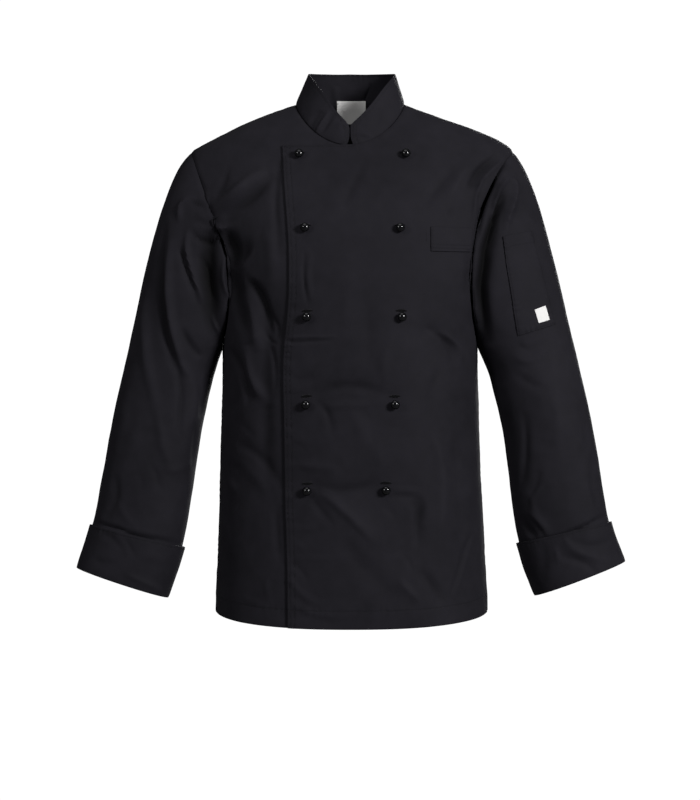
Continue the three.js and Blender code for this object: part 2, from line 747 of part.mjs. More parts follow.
const over = front(1, true);
const leftSleeve = sleeve(1);
add("front_left", over, BLACK_COTTON);
add("front_right", front(-1, false), BLACK_COTTON);
add("back", back(), BLACK_COTTON);
add("collar", collar(), BLACK_COTTON);
add("sleeve_left", leftSleeve, BLACK_COTTON);
add("sleeve_right", sleeve(-1), BLACK_COTTON);
add("cuff_left", cuff(1), BLACK_COTTON);
add("cuff_right", cuff(-1), BLACK_COTTON);
add("neck_label", neckLabel(), WHITE_TAPE);
add("chest_pocket", patch(over, CHEST_POCKET, RESTING_GAP, POCKET_WALL), BLACK_COTTON);
const sleevePocket = patch(leftSleeve, SLEEVE_POCKET, SLEEVE_POCKET_GAP, POCKET_WALL);
add("sleeve_pocket", sleevePocket, BLACK_COTTON);
const onPocket = SLEEVE_POCKET_GAP + POCKET_WALL + RESTING_GAP;
add("sleeve_label", patch(leftSleeve, SLEEVE_LABEL, onPocket, LABEL_WALL), WHITE_TAPE);

BUTTONS.forEach((row, i) => {
  for (const side of ["right", "left"]) {
    const profile = BUTTON_PROFILE.map(([radius, height]) => new THREE.Vector2(radius, height));
    const button = add(
      `button_${i + 1}_${side}`,
      new THREE.LatheGeometry(profile, BUTTON_SIDES),
      BLACK_PLASTIC,
    );
    const { point, normal } = surfaceAt(over, row[side], row.z);
    button.position.copy(moved(point, normal, SEAM_GAP));
    button.quaternion.setFromUnitVectors(new THREE.Vector3(0, 1, 0), normal);
  }
});

export default garment;
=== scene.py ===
"""A black double-breasted chef jacket, filled out as if on a wearer, with nobody in it.

Metres, +Z up, the front faces -Y. The CAD model gives each piece its form and its place.
"""

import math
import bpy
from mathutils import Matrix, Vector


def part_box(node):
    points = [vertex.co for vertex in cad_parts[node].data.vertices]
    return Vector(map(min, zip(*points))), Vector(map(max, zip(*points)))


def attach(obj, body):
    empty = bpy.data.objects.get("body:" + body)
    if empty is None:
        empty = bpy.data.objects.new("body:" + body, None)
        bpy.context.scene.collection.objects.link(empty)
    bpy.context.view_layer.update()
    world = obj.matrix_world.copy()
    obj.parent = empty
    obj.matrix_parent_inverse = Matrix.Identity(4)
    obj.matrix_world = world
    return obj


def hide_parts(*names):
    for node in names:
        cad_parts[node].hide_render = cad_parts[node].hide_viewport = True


bl_info = {
    "name": "Chef Jacket",
    "version": (1, 0, 0),
    "blender": (4, 5, 0),
    "location": "3D View > Sidebar > Chef Jacket",
    "description": "Makes a double-breasted chef jacket and its studio",
    "category": "Add Mesh",
}

from typing import NamedTuple

import bmesh
import bpy
import numpy as np
from bpy.props import FloatProperty, FloatVectorProperty, PointerProperty
from mathutils import Matrix, Vector, kdtree, noise
from mathutils.bvhtree import BVHTree

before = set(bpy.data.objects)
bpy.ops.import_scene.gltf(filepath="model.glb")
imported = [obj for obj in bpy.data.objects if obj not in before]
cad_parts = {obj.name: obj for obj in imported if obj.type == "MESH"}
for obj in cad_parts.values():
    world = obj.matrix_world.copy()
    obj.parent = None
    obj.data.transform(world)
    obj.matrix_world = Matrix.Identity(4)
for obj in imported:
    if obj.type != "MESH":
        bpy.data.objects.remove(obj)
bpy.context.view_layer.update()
MM = 0.001
BODY = "root"

# How the outer layer of a CAD wall is found
MERGE = 1e-5
THICKEST = 7 * MM
RIM_ANGLE = math.radians(66)

# The jacket's cores, which the outer side of each piece faces away from
TRUNK_TOP = -0.2
ARM_TOP, ARM_TOP_OUT = -0.16, 0.215
ELBOW, ELBOW_OUT = -0.385, 0.262
FOREARM_SLOPE = 0.2
ARM_FORWARD = 0.01

# How a layer is refined and its wall made
LEVELS = 3
SMOOTHINGS = 12
SMOOTHING = 0.5
SHARP_ANGLE = math.radians(50)
ROUND_EDGE = 0.45 * MM
COLLAR_SMOOTHINGS = 4
PATCH_SMOOTHINGS = 2
LAID_SMOOTHINGS = 3

# Heights and widths that tell one edge of a body panel from another
HEM_BELOW_Z = -0.722
VENT_BELOW_Z = -0.662
UNDERARM_Z = -0.3502
SHOULDER_Z = -0.066
TOP_WITHIN_X = 0.014
SIDE_BEYOND_X = 0.15
NECK_HALF_WIDTH = 0.079
NECK_DEPTH = 0.064
NECK_WITHIN = 1.05
COLLAR_FOOT_BEYOND = 0.92
COLLAR_END_WITHIN_X = 0.0075
SLEEVE_END_BELOW_Z = VENT_BELOW_Z + 0.2
STEEP = 0.5
CUFF_SLOPE = 0.27
CUFF_MIDDLE = -0.735

# The folds' way over the cloth
FOLD_STEPS = 18
FOLD_REACH = 3.2
FOLD_FULL_WHERE_FACING = 0.5
FOLD_TAPER = 0.75
WANDER = 2.2 * MM
WANDER_SCALE = 24
UNEVEN = ((0.9 * MM, 11), (0.5 * MM, 27), (0.2 * MM, 70))

# In millimetres: painted shade darkens the cloth where a fold sinks past the first, growing over the second
FOLD_SHADE_FROM = 2.0
FOLD_SHADE_DEPTH = 11.0

# Where a piece goes on under its neighbour, past its seam
TUCK_STEP = 2.2 * MM
TUCK_LENGTH = 6 * MM
TUCKED = {
    "over_front": ("side", "shoulder"),
    "under_front": ("side", "shoulder"),
    "left_sleeve": ("armhole",),
    "right_sleeve": ("armhole",),
    "stand_collar": ("foot",),
}

# How seams sink and pucker the cloth beside them: widths, and waves by length and share
SINK_WIDTH = 3.2 * MM
PUCKER_WIDTH = 6 * MM
PUCKER_FROM_EDGE = 4
PUCKER_WAVE = 11 * MM
PUCKER_DRIFT = (43 * MM, 2.2)
PUCKER_SWELL = (97 * MM, 0.4)

# The ways that the weave goes round the trunk and the arms
TRUNK_HALF_WIDTH, TRUNK_HALF_DEPTH, TRUNK_RADIUS = 0.19, 0.115, 0.16
ARM_RADIUS = 0.062
SLEEVE_STRETCH = 1.04
NO_TURN = 10

# How wide the cloth's painted shade runs: in the stitch rows' sunk grooves, along the edges, and at the very
# rims
ROW_WIDTH = 1.3 * MM
EDGE_SHADE_WIDTH = 1.6 * MM
RIM_SHADE_WIDTH = 0.5 * MM

# Stitches
STITCH_PITCH = 3.1 * MM
STITCH_LENGTH = 2.3 * MM
STITCH_RADIUS = 0.34 * MM
STITCH_SIDES = 6
STITCH_FLATNESS = 0.75
STITCH_CORE = 0.7
ROW_LIFT = 0.1 * MM
HOLE_LIFT = 0.12 * MM
BARTACK_LIFT = 0.15 * MM

# The distances to a piece's rows of stitches, for its material, or far away; edges are sampled to find them
ROW_ATTRIBUTES = ("RowA", "RowB", "RowC", "RowD")
FAR = 0.03
EDGE_SAMPLES = 4


class Piece(NamedTuple):
    """A piece of cloth: its CAD node, the folds that it takes and its cut, in metres"""

    name: str
    node: str
    folds: str
    wall: float
    held: str
    flat: tuple
    area: float


class Seam(NamedTuple):
    """What is sewn along one edge of a piece, in millimetres in from the edge"""

    piece: str
    edge: str
    rows: tuple
    sink: float
    pucker: float


class Fold(NamedTuple):
    """A crease along a curve in the view from the front, in millimetres; lean makes one side the wider"""

    start_x: float
    start_z: float
    pull_x: float
    pull_z: float
    end_x: float
    end_z: float
    height: float
    width: float
    lean: float = 0


PANELS = (
    Piece("over_front", "front_left", "body", 1.5 * MM, "hung", (0.36, 0.76), 0.228),
    Piece("under_front", "front_right", "body", 1.5 * MM, "hung", (0.36, 0.76), 0.226),
    Piece("back_panel", "back", "body", 1.5 * MM, "hung", (0.53, 0.77), 0.345),
)
SLEEVES = (
    Piece("left_sleeve", "sleeve_left", "left_arm", 1.5 * MM, "hung", (0.46, 0.64), 0.21),
    Piece("right_sleeve", "sleeve_right", "right_arm", 1.5 * MM, "hung", (0.46, 0.64), 0.21),
)
CUFFS = (
    Piece("left_cuff", "cuff_left", "left_cuff", 2 * MM, "folded", (0.395, 0.07), None),
    Piece("right_cuff", "cuff_right", "right_cuff", 2 * MM, "folded", (0.395, 0.07), None),
)
COLLAR = Piece("stand_collar", "collar", "collar", 2 * MM, "folded", (0.47, 0.055), 0.0215)
CHEST_POCKET = Piece("chest_pocket_band", "chest_pocket", "body", 1.4 * MM, "folded", (0.062, 0.036), None)
SLEEVE_POCKET = Piece("sleeve_pocket_patch", "sleeve_pocket", "left_arm", 1.7 * MM, "laid", (0.06, 0.14), None)
SLEEVE_TAB = Piece("sleeve_tab", "sleeve_label", "left_arm", 0.6 * MM, "laid", (0.018, 0.021), None)
NECK_TAB = Piece("neck_tab", "neck_label", "neck", 0.6 * MM, "hung", (0.042, 0.039), None)

# Pieces, edge, rows of stitches, how far the seam sinks the cloth, and how far it puckers
SEAM_TABLE = (
    ("over_front", "free", (3.5, 10), 0, 1.0),
    ("over_front", "top", (3,), 0, 0.25),
    ("over_front under_front back_panel", "hem", (25,), 0, 0.4),
    ("over_front under_front", "vent", (), 0, 0.3),
    ("back_panel", "vent", (8,), 0, 0.3),
    ("over_front under_front back_panel", "armhole", (), 1.6, 0.35),
    ("over_front under_front back_panel", "side", (), 1.2, 0.3),
    ("over_front under_front back_panel", "neck", (), 0.8, 0.25),
    ("over_front under_front", "shoulder", (), 1.0, 0.2),
    ("back_panel", "shoulder", (5,), 1.0, 0.2),
    ("left_sleeve right_sleeve", "armhole", (), 1.2, 0.4),
    ("left_cuff right_cuff", "top", (3.5,), 0, 0.3),
    ("left_cuff right_cuff", "fold", (), 0.6, 0.1),
    ("stand_collar", "top", (4,), 0, 0.3),
    ("stand_collar", "end", (3, 7), 0, 0.15),
    ("stand_collar", "foot", (), 0.7, 0.2),
    ("chest_pocket_band", "top", (26, 31), 0, 0.15),
    ("chest_pocket_band", "left", (2,), 0, 0.15),
    ("sleeve_pocket_patch", "top", (17,), 0, 0.15),
    ("sleeve_pocket_patch", "left", (2,), 0.3, 0.35),
    ("sleeve_pocket_patch", "bottom", (2,), 0.3, 0.35),
    ("sleeve_pocket_patch", "right", (2,), 0.3, 0.35),
)
SEAMS = [Seam(piece, *rest) for pieces, *rest in SEAM_TABLE for piece in pieces.split()]

# In millimetres, by the piece and the side that each fold lies on
FOLDS = {
    ("body", "front"): (
        (-119, -102, -152, -123, -197, -160, 3.6, 8, 0.3), (-108, -109, -134, -144, -177, -170, -3, 7),
        (-203, -130, -212, -206, -152, -178, 2.6, 4.5), (-170, -94, -179, -128, -192, -138, -1.2, 5),
        (-179, -191, -160, -206, -165, -241, -4.5, 9), (-152, -199, -142, -219, -152, -235, -2, 10),
        (-133, -218, -144, -236, -159, -250, 1.5, 3.5), (-147, -260, -115, -266, -111, -335, -3.6, 6.5, -0.2),
        (-152, -274, -131, -313, -130, -360, 2.6, 8), (-172, -222, -160, -285, -136, -340, -3.2, 13),
        (-112, -290, -124, -420, -112, -570, -1.8, 10), (-122, -299, -93, -315, -100, -343, -1, 3),
        (-122, -324, -114, -350, -101, -348, -0.8, 2.8), (-172, -351, -144, -382, -143, -434, -2.6, 6.5, 0.3),
        (-144, -350, -148, -402, -113, -429, 2.4, 6.5), (-127, -429, -114, -436, -97, -432, 0.6, 2.6),
        (-122, -438, -114, -436, -95, -437, -0.5, 2.8), (-116, -346, -98, -366, -105, -415, -1.2, 3),
        (-158, -490, -130, -490, -91, -553, -1.4, 7, 0.2), (-161, -512, -124, -530, -111, -564, 0.8, 8),
        (-169, -517, -156, -527, -144, -521, -0.4, 3), (-152, -459, -141, -472, -130, -476, -0.4, 3),
        (-177, -528, -172, -548, -155, -556, 1, 6), (-177, -564, -170, -598, -172, -609, -0.7, 4),
        (-98, -571, -108, -604, -95, -656, -1, 5), (-105, -664, -126, -682, -108, -703, 0.7, 4.5),
        (-152, -700, -130, -710, -111, -711, 0.5, 2.6), (-100, -80, -109, -140, -98, -235, -1.4, 5),
        (-122, -191, -100, -196, -111, -288, 1.5, 10), (-64, -216, -68, -274, -57, -296, -1, 2.6, 0.2),
        (-55, -218, -62, -277, -50, -288, 0.7, 4), (-89, -339, -69, -341, -17, -339, 0.6, 2.4),
        (-89, -344, -72, -350, -22, -344, -0.7, 2.6), (-83, -396, -67, -402, -47, -393, -0.7, 4),
        (-89, -409, -73, -414, -53, -408, 0.6, 2.5), (-89, -484, -70, -487, -58, -494, -0.6, 2.6),
        (-89, -523, -76, -511, -36, -523, 0.6, 4), (-87, -600, -64, -604, -42, -600, 0.5, 2.4),
        (-86, -643, -50, -646, -6, -646, 0.4, 2.4), (-87, -647, -66, -656, -57, -678, -0.7, 3),
        (-86, -620, -70, -626, -61, -636, 0.4, 3), (-50, -423, -16, -394, 58, -422, -1.4, 6, 0.2),
        (-50, -432, -2, -434, 53, -429, 0.9, 4.5, -0.2), (-51, -432, -28, -424, -25, -479, -1.2, 5),
        (-7, -437, 20, -450, 22, -498, 0.8, 10), (-53, -539, -8, -564, 44, -538, -1.6, 6.5),
        (-44, -552, -26, -560, 39, -627, 1.8, 6.5, 0.2), (-53, -559, -50, -570, -22, -600, -1.1, 5),
        (-69, -520, -50, -510, -8, -528, 0.7, 6), (-14, -620, 9, -648, 72, -708, -1.1, 13),
        (-83, -700, -64, -724, 0, -725, 0.8, 4), (-84, -672, -80, -692, -33, -711, 0.7, 4),
        (17, -94, 10, -130, -14, -158, -1.2, 7), (-8, -144, -26, -174, -53, -185, 0.9, 9),
        (32, -481, 52, -512, 33, -531, 0.5, 8), (213, -77, 180, -92, 166, -135, -2.8, 6, 0.2),
        (166, -119, 186, -124, 177, -152, -1.4, 4), (147, -94, 126, -128, 100, -158, -1.5, 7),
        (169, -94, 147, -120, 133, -155, 1.2, 7), (141, -160, 142, -166, 138, -173, -0.9, 4),
        (216, -86, 172, -111, 173, -180, 2, 3.4, 0.2), (194, -105, 186, -119, 183, -133, -0.8, 2.2),
        (163, -218, 168, -253, 166, -288, -1.4, 5), (102, -326, 143, -340, 144, -379, -1.8, 5, 0.3),
        (113, -331, 164, -338, 155, -384, 1.4, 4.5), (125, -379, 110, -408, 108, -454, -1, 7),
        (111, -468, 142, -522, 122, -636, 1.4, 8), (86, -562, 96, -588, 93, -631, -1.6, 6, 0.2),
        (60, -552, 79, -550, 102, -553, 0.7, 2.4), (58, -557, 80, -562, 93, -559, -0.9, 2.6),
        (90, -559, 106, -568, 87, -606, -1, 5), (47, -638, 74, -642, 82, -617, -0.6, 3),
        (69, -642, 84, -647, 83, -664, -0.5, 3), (47, -573, 60, -580, 64, -592, -0.6, 4),
        (66, -675, 77, -686, 100, -708, 1.4, 5, -0.2), (94, -661, 122, -686, 127, -711, -1.8, 7),
        (172, -609, 156, -642, 137, -706, -0.7, 2.6), (177, -614, 165, -642, 145, -703, 0.6, 3),
        (145, -700, 164, -711, 172, -706, 0.4, 2.2), (147, -564, 159, -588, 155, -627, -0.7, 6),
        (141, -481, 154, -508, 147, -551, -0.6, 6), (64, -329, 37, -375, 50, -405, 0.8, 8),
        (3, -218, -17, -292, 3, -350, 0.8, 14), (30, -288, 20, -320, 30, -387, -0.6, 9),
    ),
    ("left_arm", "front"): (
        (229, -110, 202, -120, 201, -182, 3.4, 3.2, 0.2), (224, -84, 198, -112, 178, -166, -4.5, 4.2),
        (209, -116, 178, -142, 179, -201, -2.6, 4.5), (225, -116, 250, -103, 214, -198, 2.8, 3.4),
        (217, -133, 211, -154, 197, -215, -3.4, 5.5), (220, -153, 220, -185, 209, -201, -1.6, 3),
        (222, -130, 166, -250, 194, -350, -7, 9), (242, -105, 271, -131, 276, -189, 1, 8),
        (234, -347, 253, -368, 276, -341, -0.9, 4), (228, -358, 244, -386, 275, -358, 0.8, 5),
        (228, -384, 254, -410, 279, -409, -0.9, 6), (244, -443, 252, -492, 240, -556, -1.3, 5, 0.2),
        (265, -525, 262, -541, 254, -561, -1.1, 5), (271, -547, 248, -564, 265, -592, 0.8, 5),
        (251, -584, 265, -594, 279, -619, 1.7, 5, 0.4), (242, -589, 252, -614, 262, -620, -1.6, 5),
        (289, -341, 288, -419, 296, -525, 0.7, 9), (344, -499, 334, -536, 352, -584, -1, 6),
        (333, -539, 342, -570, 347, -589, 0.7, 5), (225, -426, 218, -482, 230, -539, -0.5, 5),
        (317, -426, 340, -474, 335, -499, -0.6, 6), (236, -634, 300, -617, 368, -587, -2.2, 2.8),
    ),
    ("right_arm", "front"): (
        (-254, -195, -271, -303, -228, -395, 3.4, 5.5, 0.3), (-234, -372, -210, -414, -225, -491, 1.6, 6),
        (-263, -170, -276, -292, -244, -387, -3.2, 5, -0.2), (-248, -358, -229, -403, -242, -496, -1.9, 5),
        (-287, -260, -306, -325, -268, -454, 2, 8), (-271, -440, -270, -479, -248, -530, 1.3, 7),
        (-228, -184, -238, -225, -204, -294, 2.6, 3.8), (-242, -209, -232, -228, -214, -294, -2.4, 4.5),
        (-214, -220, -196, -250, -197, -285, -2.2, 4), (-237, -325, -226, -348, -211, -367, -2, 5),
        (-225, -192, -202, -212, -182, -196, -2.8, 3), (-228, -184, -204, -185, -189, -186, 1.4, 3),
        (-228, -148, -214, -150, -201, -155, -1.6, 3.6), (-238, -175, -252, -142, -217, -141, 2.2, 4),
        (-217, -167, -205, -171, -197, -175, 0.9, 3), (-197, -170, -204, -250, -187, -348, -6.5, 13),
        (-173, -217, -186, -262, -166, -288, 2, 3), (-196, -305, -189, -331, -182, -333, 1.4, 2.6),
        (-217, -454, -220, -478, -223, -553, -1.4, 5), (-282, -516, -271, -524, -268, -556, -0.7, 4.5),
        (-334, -525, -316, -564, -347, -592, -1.1, 6), (-324, -567, -322, -588, -296, -606, 0.6, 5),
        (-302, -525, -287, -538, -296, -556, -0.5, 5), (-307, -426, -309, -474, -327, -499, -0.7, 8),
        (-265, -519, -244, -534, -228, -513, 0.7, 6), (-366, -596, -300, -615, -232, -633, -2.2, 2.8),
    ),
    ("left_cuff", "front"): (
        (296, -623, 316, -642, 369, -654, 1.1, 6), (290, -646, 330, -646, 347, -674, -1, 5, 0.2),
        (313, -623, 341, -637, 369, -623, -0.9, 5), (269, -623, 278, -650, 268, -680, -0.8, 6),
        (286, -629, 290, -644, 290, -654, 0.6, 3.6), (299, -618, 302, -626, 313, -630, 0.6, 3),
    ),
    ("right_cuff", "front"): (
        (-352, -612, -336, -616, -316, -635, -0.8, 5), (-318, -618, -304, -628, -302, -646, -0.7, 4),
        (-364, -646, -350, -660, -324, -651, -0.6, 5), (-316, -668, -292, -682, -259, -697, 0.8, 4),
        (-296, -640, -271, -644, -254, -657, 0.5, 6),
    ),
    ("collar", "front"): (
        (-29, -16, -40, -32, -51, -52, 1.6, 2.4), (-22, -19, -32, -32, -42, -52, -1, 3),
        (-39, -16, -52, -24, -58, -44, -1, 4), (4, -55, 16, -48, 32, -56, 0.9, 2.4),
        (48, -11, 45, -30, 30, -38, -0.7, 5), (-19, -44, -11, -28, -3, -45, 0.6, 3),
    ),
    ("body", "back"): (
        (150, -110, 96, -150, 40, -240, 2.6, 9, 0.2), (-150, -120, -104, -160, -52, -262, 2.8, 10, -0.2),
        (168, -230, 140, -262, 96, -300, -2.4, 8), (-170, -236, -138, -280, -108, -306, -2.2, 8),
        (164, -330, 132, -352, 84, -356, 2, 7), (-166, -322, -140, -352, -88, -372, 2.2, 7),
        (-70, -400, -86, -520, -78, -700, 2.6, 11, 0.2), (-46, -440, -56, -560, -40, -690, -2.2, 10),
        (62, -420, 82, -560, 70, -706, 2.4, 11, -0.2), (36, -470, 44, -590, 30, -716, -2.4, 10),
        (138, -440, 150, -560, 146, -640, -2, 9), (-140, -430, -152, -540, -150, -650, -2.2, 9),
        (-30, -300, 6, -320, 44, -296, -1.6, 9), (-56, -340, -10, -356, 30, -338, 1.4, 8),
        (100, -560, 70, -600, 20, -620, -1.4, 8), (-104, -580, -60, -630, -16, -640, 1.4, 8),
        (26, -20, 30, -60, 64, -110, -1.2, 8), (-22, -24, -34, -70, -70, -116, 1.2, 8),
    ),
    ("left_arm", "back"): (
        (214, -180, 232, -220, 240, -300, -2.8, 7), (232, -150, 262, -210, 272, -300, 2.6, 8),
        (220, -320, 250, -352, 286, -348, -2.2, 7), (236, -390, 268, -420, 318, -410, -2.4, 8, 0.2),
        (240, -430, 272, -452, 322, -452, 2.4, 7), (252, -476, 284, -500, 330, -492, -2, 7),
        (300, -520, 310, -570, 322, -640, 2, 9), (280, -540, 286, -580, 296, -610, -1.8, 8),
    ),
    ("right_arm", "back"): (
        (-210, -176, -230, -230, -236, -306, -2.8, 7), (-234, -160, -258, -214, -266, -310, 2.6, 8),
        (-218, -330, -246, -360, -280, -352, -2.2, 7), (-234, -396, -270, -424, -312, -418, -2.4, 8, -0.2),
        (-238, -436, -276, -460, -318, -456, 2.4, 7), (-250, -482, -286, -506, -326, -500, -2, 7),
        (-296, -530, -306, -580, -318, -644, 2, 9),
    ),
    ("left_cuff", "back"): (
        (276, -640, 306, -652, 340, -640, 1.6, 6),
    ),
    ("right_cuff", "back"): (
        (-276, -646, -306, -656, -340, -644, 1.6, 6),
    ),
    ("collar", "back"): (
        (31, 38, 28, 26, 20, 10, 1.6, 2.6), (-20, 34, -24, 24, -20, 12, -0.8, 5),
    ),
}


class StudHole(NamedTuple):
    """A stud's CAD node, how far its buttonhole lies above it in millimetres, and the hole's tilt in degrees"""

    node: str
    rise: float
    tilt: float


STUDS = (
    StudHole("button_1_right", 3.5, 3),
    StudHole("button_1_left", 3.5, -2),
    StudHole("button_2_right", 4, -3),
    StudHole("button_2_left", 4, 2),
    StudHole("button_3_right", 7.5, 2),
    StudHole("button_3_left", 8, 0),
    StudHole("button_4_right", 11, 5),
    StudHole("button_4_left", 10.5, 2),
    StudHole("button_5_right", 9.5, 2),
    StudHole("button_5_left", 9.5, -2),
)
# Radius and height in millimetres, from the cloth to the top
STUD_PROFILE = (
    (0, 0.2),
    (2.3, 0.2),
    (2.1, 1.4),
    (2.6, 2.3),
    (4.6, 2.9),
    (6, 4.1),
    (6.6, 5.8),
    (6.2, 7.7),
    (4.9, 9.4),
    (3, 10.6),
    (1, 11.15),
    (0, 11.2),
)
STUD_STEPS = 28
STUD_DROOP = 0.12
HOLE_LENGTH = 15 * MM
HOLE_HALF_WIDTH = 1.7 * MM
HOLE_STITCHES = 46
HOLE_STITCH = (1.6 * MM, 0.36 * MM)
HOLE_END_SHARE = 0.97
HOLE_SEGMENTS = 20
# A near-black disc of painted shade fills each buttonhole: its thickness, and its lift off the cloth
HOLE_SHADE_DEPTH = 0.3 * MM
HOLE_SHADE_LIFT = 0.35 * MM

# Bartacks and rows of stitches that follow no edge: the piece, from, to and the rows' number of steps
BARTACK_STITCHES = 9
BARTACK_STITCH = (2.4 * MM, 0.5 * MM)
BARTACKS = (
    ("over_front", (106, -190), (106, -204)),
    ("sleeve_pocket_patch", (226, -281), (240, -287)),
    ("sleeve_pocket_patch", (217, -200), (221, -199)),
    ("sleeve_pocket_patch", (253, -190), (257, -189)),
)
LINES = (
    ("sleeve_pocket_patch", (229, -202), (240, -284), 40),
    ("sleeve_pocket_patch", (215, -197), (257, -187), 30),
    ("over_front", (14, -70), (14, -80), 8),
)

# The patches lie this far out from their base
POCKET_LIFT = 0.25 * MM
SLEEVE_TAB_LIFT = 2.3 * MM

# The neck label hangs a little shorter than its CAD node, with its foot forward and a slight wave across
NECK_TAB_TOP = 0.0131
NECK_TAB_LENGTH = 0.034
NECK_TAB_SHARE = 0.9
NECK_TAB_SWING = 2.4 * MM
NECK_TAB_WAVE = 0.5 * MM
NECK_TAB_TURNS = 160

# The studio, in metres
FLOOR_HALF_WIDTH = 9
FLOOR_BACK = 3.4
FLOOR_CURVE = 1.6
FLOOR_CURVE_STEPS = range(10, 91, 10)
WALL_TOP = 9
AIM = Vector((0, 0, -0.38))
LIGHTS = {
    "key": ((2.9, -3.1, 1.0), 1.0),
    "fill": ((-2.9, -3.0, 1.0), 1.0),
    "top": ((-0.2, -0.9, 1.9), 1.8),
    "back": ((0.9, 3.1, 0.7), 1.6),
}

# Each finished layer and its edges, for what is sewn on it
surfaces = {}
edges_of = {}


def tint(name, description, default):
    """A colour that a user can change"""
    return FloatVectorProperty(name=name, description=description, subtype="COLOR", default=default)


def amount(name, description, default, unit="NONE"):
    """A size or strength that a user can change"""
    return FloatProperty(name=name, description=description, unit=unit, default=default)


class JacketCloth(bpy.types.PropertyGroup):
    """The cloth's colours, with its painted light and shade, and relief"""

    # Dark and Light are the ends of the cloth's own uneven tone; painted light on fold ridges and painted shade
    # in valleys, stitch rows and along edges also move between them
    dark: tint("Dark", "Cloth in its darkest places", (0.0078, 0.0073, 0.0098))
    light: tint("Light", "Cloth in its lightest places", (0.0135, 0.0126, 0.0166))
    # Painted shade: the colour towards which deep fold hollows and the very rims are darkened
    painted_shade: tint("Hollows", "Cloth deep in the folds", (0.0012, 0.0011, 0.0015))
    fold_depth: amount("Fold depth", "How much of their heights the folds have", 2.0)
    twill: amount("Twill pitch", "From one line of the weave to the next", 1.1 * MM, "LENGTH")


class JacketTrim(bpy.types.PropertyGroup):
    """The colours of studs, thread and labels"""

    stud: tint("Studs", "Colour of the studs", (0.002, 0.002, 0.0026))
    thread: tint("Thread", "Colour of the stitches", (0.009, 0.0086, 0.0105))
    label: tint("Labels", "Colour of the bare labels", (0.78, 0.77, 0.76))


class JacketStudio(bpy.types.PropertyGroup):
    """The camera's place and the light"""

    distance: amount("Distance", "Camera to the neck's middle", 2.8, "LENGTH")
    height: amount("Height", "Camera above the neck's middle", -0.426, "LENGTH")
    lens: amount("Lens", "Focal length in millimetres", 87.5)
    floor: amount("Floor", "Floor above the neck's middle", -1.06, "LENGTH")
    ambient: amount("Ambient", "Strength of the light from all round", 0.085)
    key: amount("Key", "Power of the large light at the right", 202, "POWER")
    fill: amount("Fill", "Power of the light at the left", 46, "POWER")
    top: amount("Top", "Power of the light above", 12, "POWER")
    back: amount("Back", "Power of the light behind", 150, "POWER")


class Value:
    """A number that varies over a surface, from a node's socket"""

    def __init__(self, shader, socket):
        self.shader = shader
        self.socket = socket

    def math(self, operation, *values):
        node = self.shader.node("ShaderNodeMath", {"operation": operation}, dict(enumerate(values)))
        return Value(self.shader, node.outputs[0])

    def __add__(self, other):
        return self.math("ADD", self, other)

    def __sub__(self, other):
        return self.math("SUBTRACT", self, other)

    def __rsub__(self, other):
        return self.math("SUBTRACT", other, self)

    def __mul__(self, other):
        return self.math("MULTIPLY", self, other)

    __radd__ = __add__
    __rmul__ = __mul__

    def sine(self):
        return self.math("SINE", self)

    def bell(self):
        """One at nought, falling smoothly to nothing on both sides"""
        return self.math("EXPONENT", self * self * -1)


class Shader:
    """The nodes of a new material or world"""

    def __init__(self, name, kind=None):
        self.owner = (bpy.data.materials if kind is None else kind).new(name)
        self.owner.use_nodes = True
        self.tree = self.owner.node_tree
        self.tree.nodes.clear()

    def node(self, kind, settings=None, sockets=None):
        """A node of a kind, with its settings first and then the values or links of its sockets"""
        made = self.tree.nodes.new(kind)
        for name, value in (settings or {}).items():
            setattr(made, name, value)
        for name, value in (sockets or {}).items():
            if isinstance(value, Value):
                self.tree.links.new(value.socket, made.inputs[name])
            else:
                made.inputs[name].default_value = value
        return made

    def value(self, kind, settings=None, sockets=None, output=0):
        return Value(self, self.node(kind, settings, sockets).outputs[output])

    def noise(self, place, scale, detail=2.0):
        return self.value("ShaderNodeTexNoise", {}, {"Vector": place, "Scale": scale, "Detail": detail})

    def limited(self, value):
        """A value held between nought and one"""
        return self.value("ShaderNodeClamp", {}, {"Value": value})

    def mix(self, factor, first, second):
        """A colour between two, by a varying share"""
        return self.value("ShaderNodeMix", {"data_type": "RGBA"}, {0: factor, 6: first, 7: second}, 2)

    def place(self):
        """The place on the object, in metres"""
        return self.value("ShaderNodeTexCoord", output=3)

    def attribute(self, name):
        return self.value("ShaderNodeAttribute", {"attribute_name": name}, output=2)

    def parts(self, vector):
        """The three numbers of a vector"""
        node = self.node("ShaderNodeSeparateXYZ", {}, {"Vector": vector})
        return [Value(self, socket) for socket in node.outputs]

    def finish(self, height=None, **sockets):
        """Joins a Principled surface to the output, with a relief in metres"""
        named = {name.replace("_", " "): value for name, value in sockets.items()}
        if height is not None:
            bump = self.value("ShaderNodeBump", {}, {"Strength": 1.0, "Distance": 1.0, "Height": height})
            named["Normal"] = bump
        surface = self.value("ShaderNodeBsdfPrincipled", {}, named)
        return self.joined(surface)

    def joined(self, surface, output="ShaderNodeOutputMaterial"):
        self.node(output, {}, {"Surface": surface})
        return self.owner


def colour(values, share=1.0):
    """A colour with its alpha, made lighter or darker by a share"""
    return (*(v * share for v in values), 1.0)


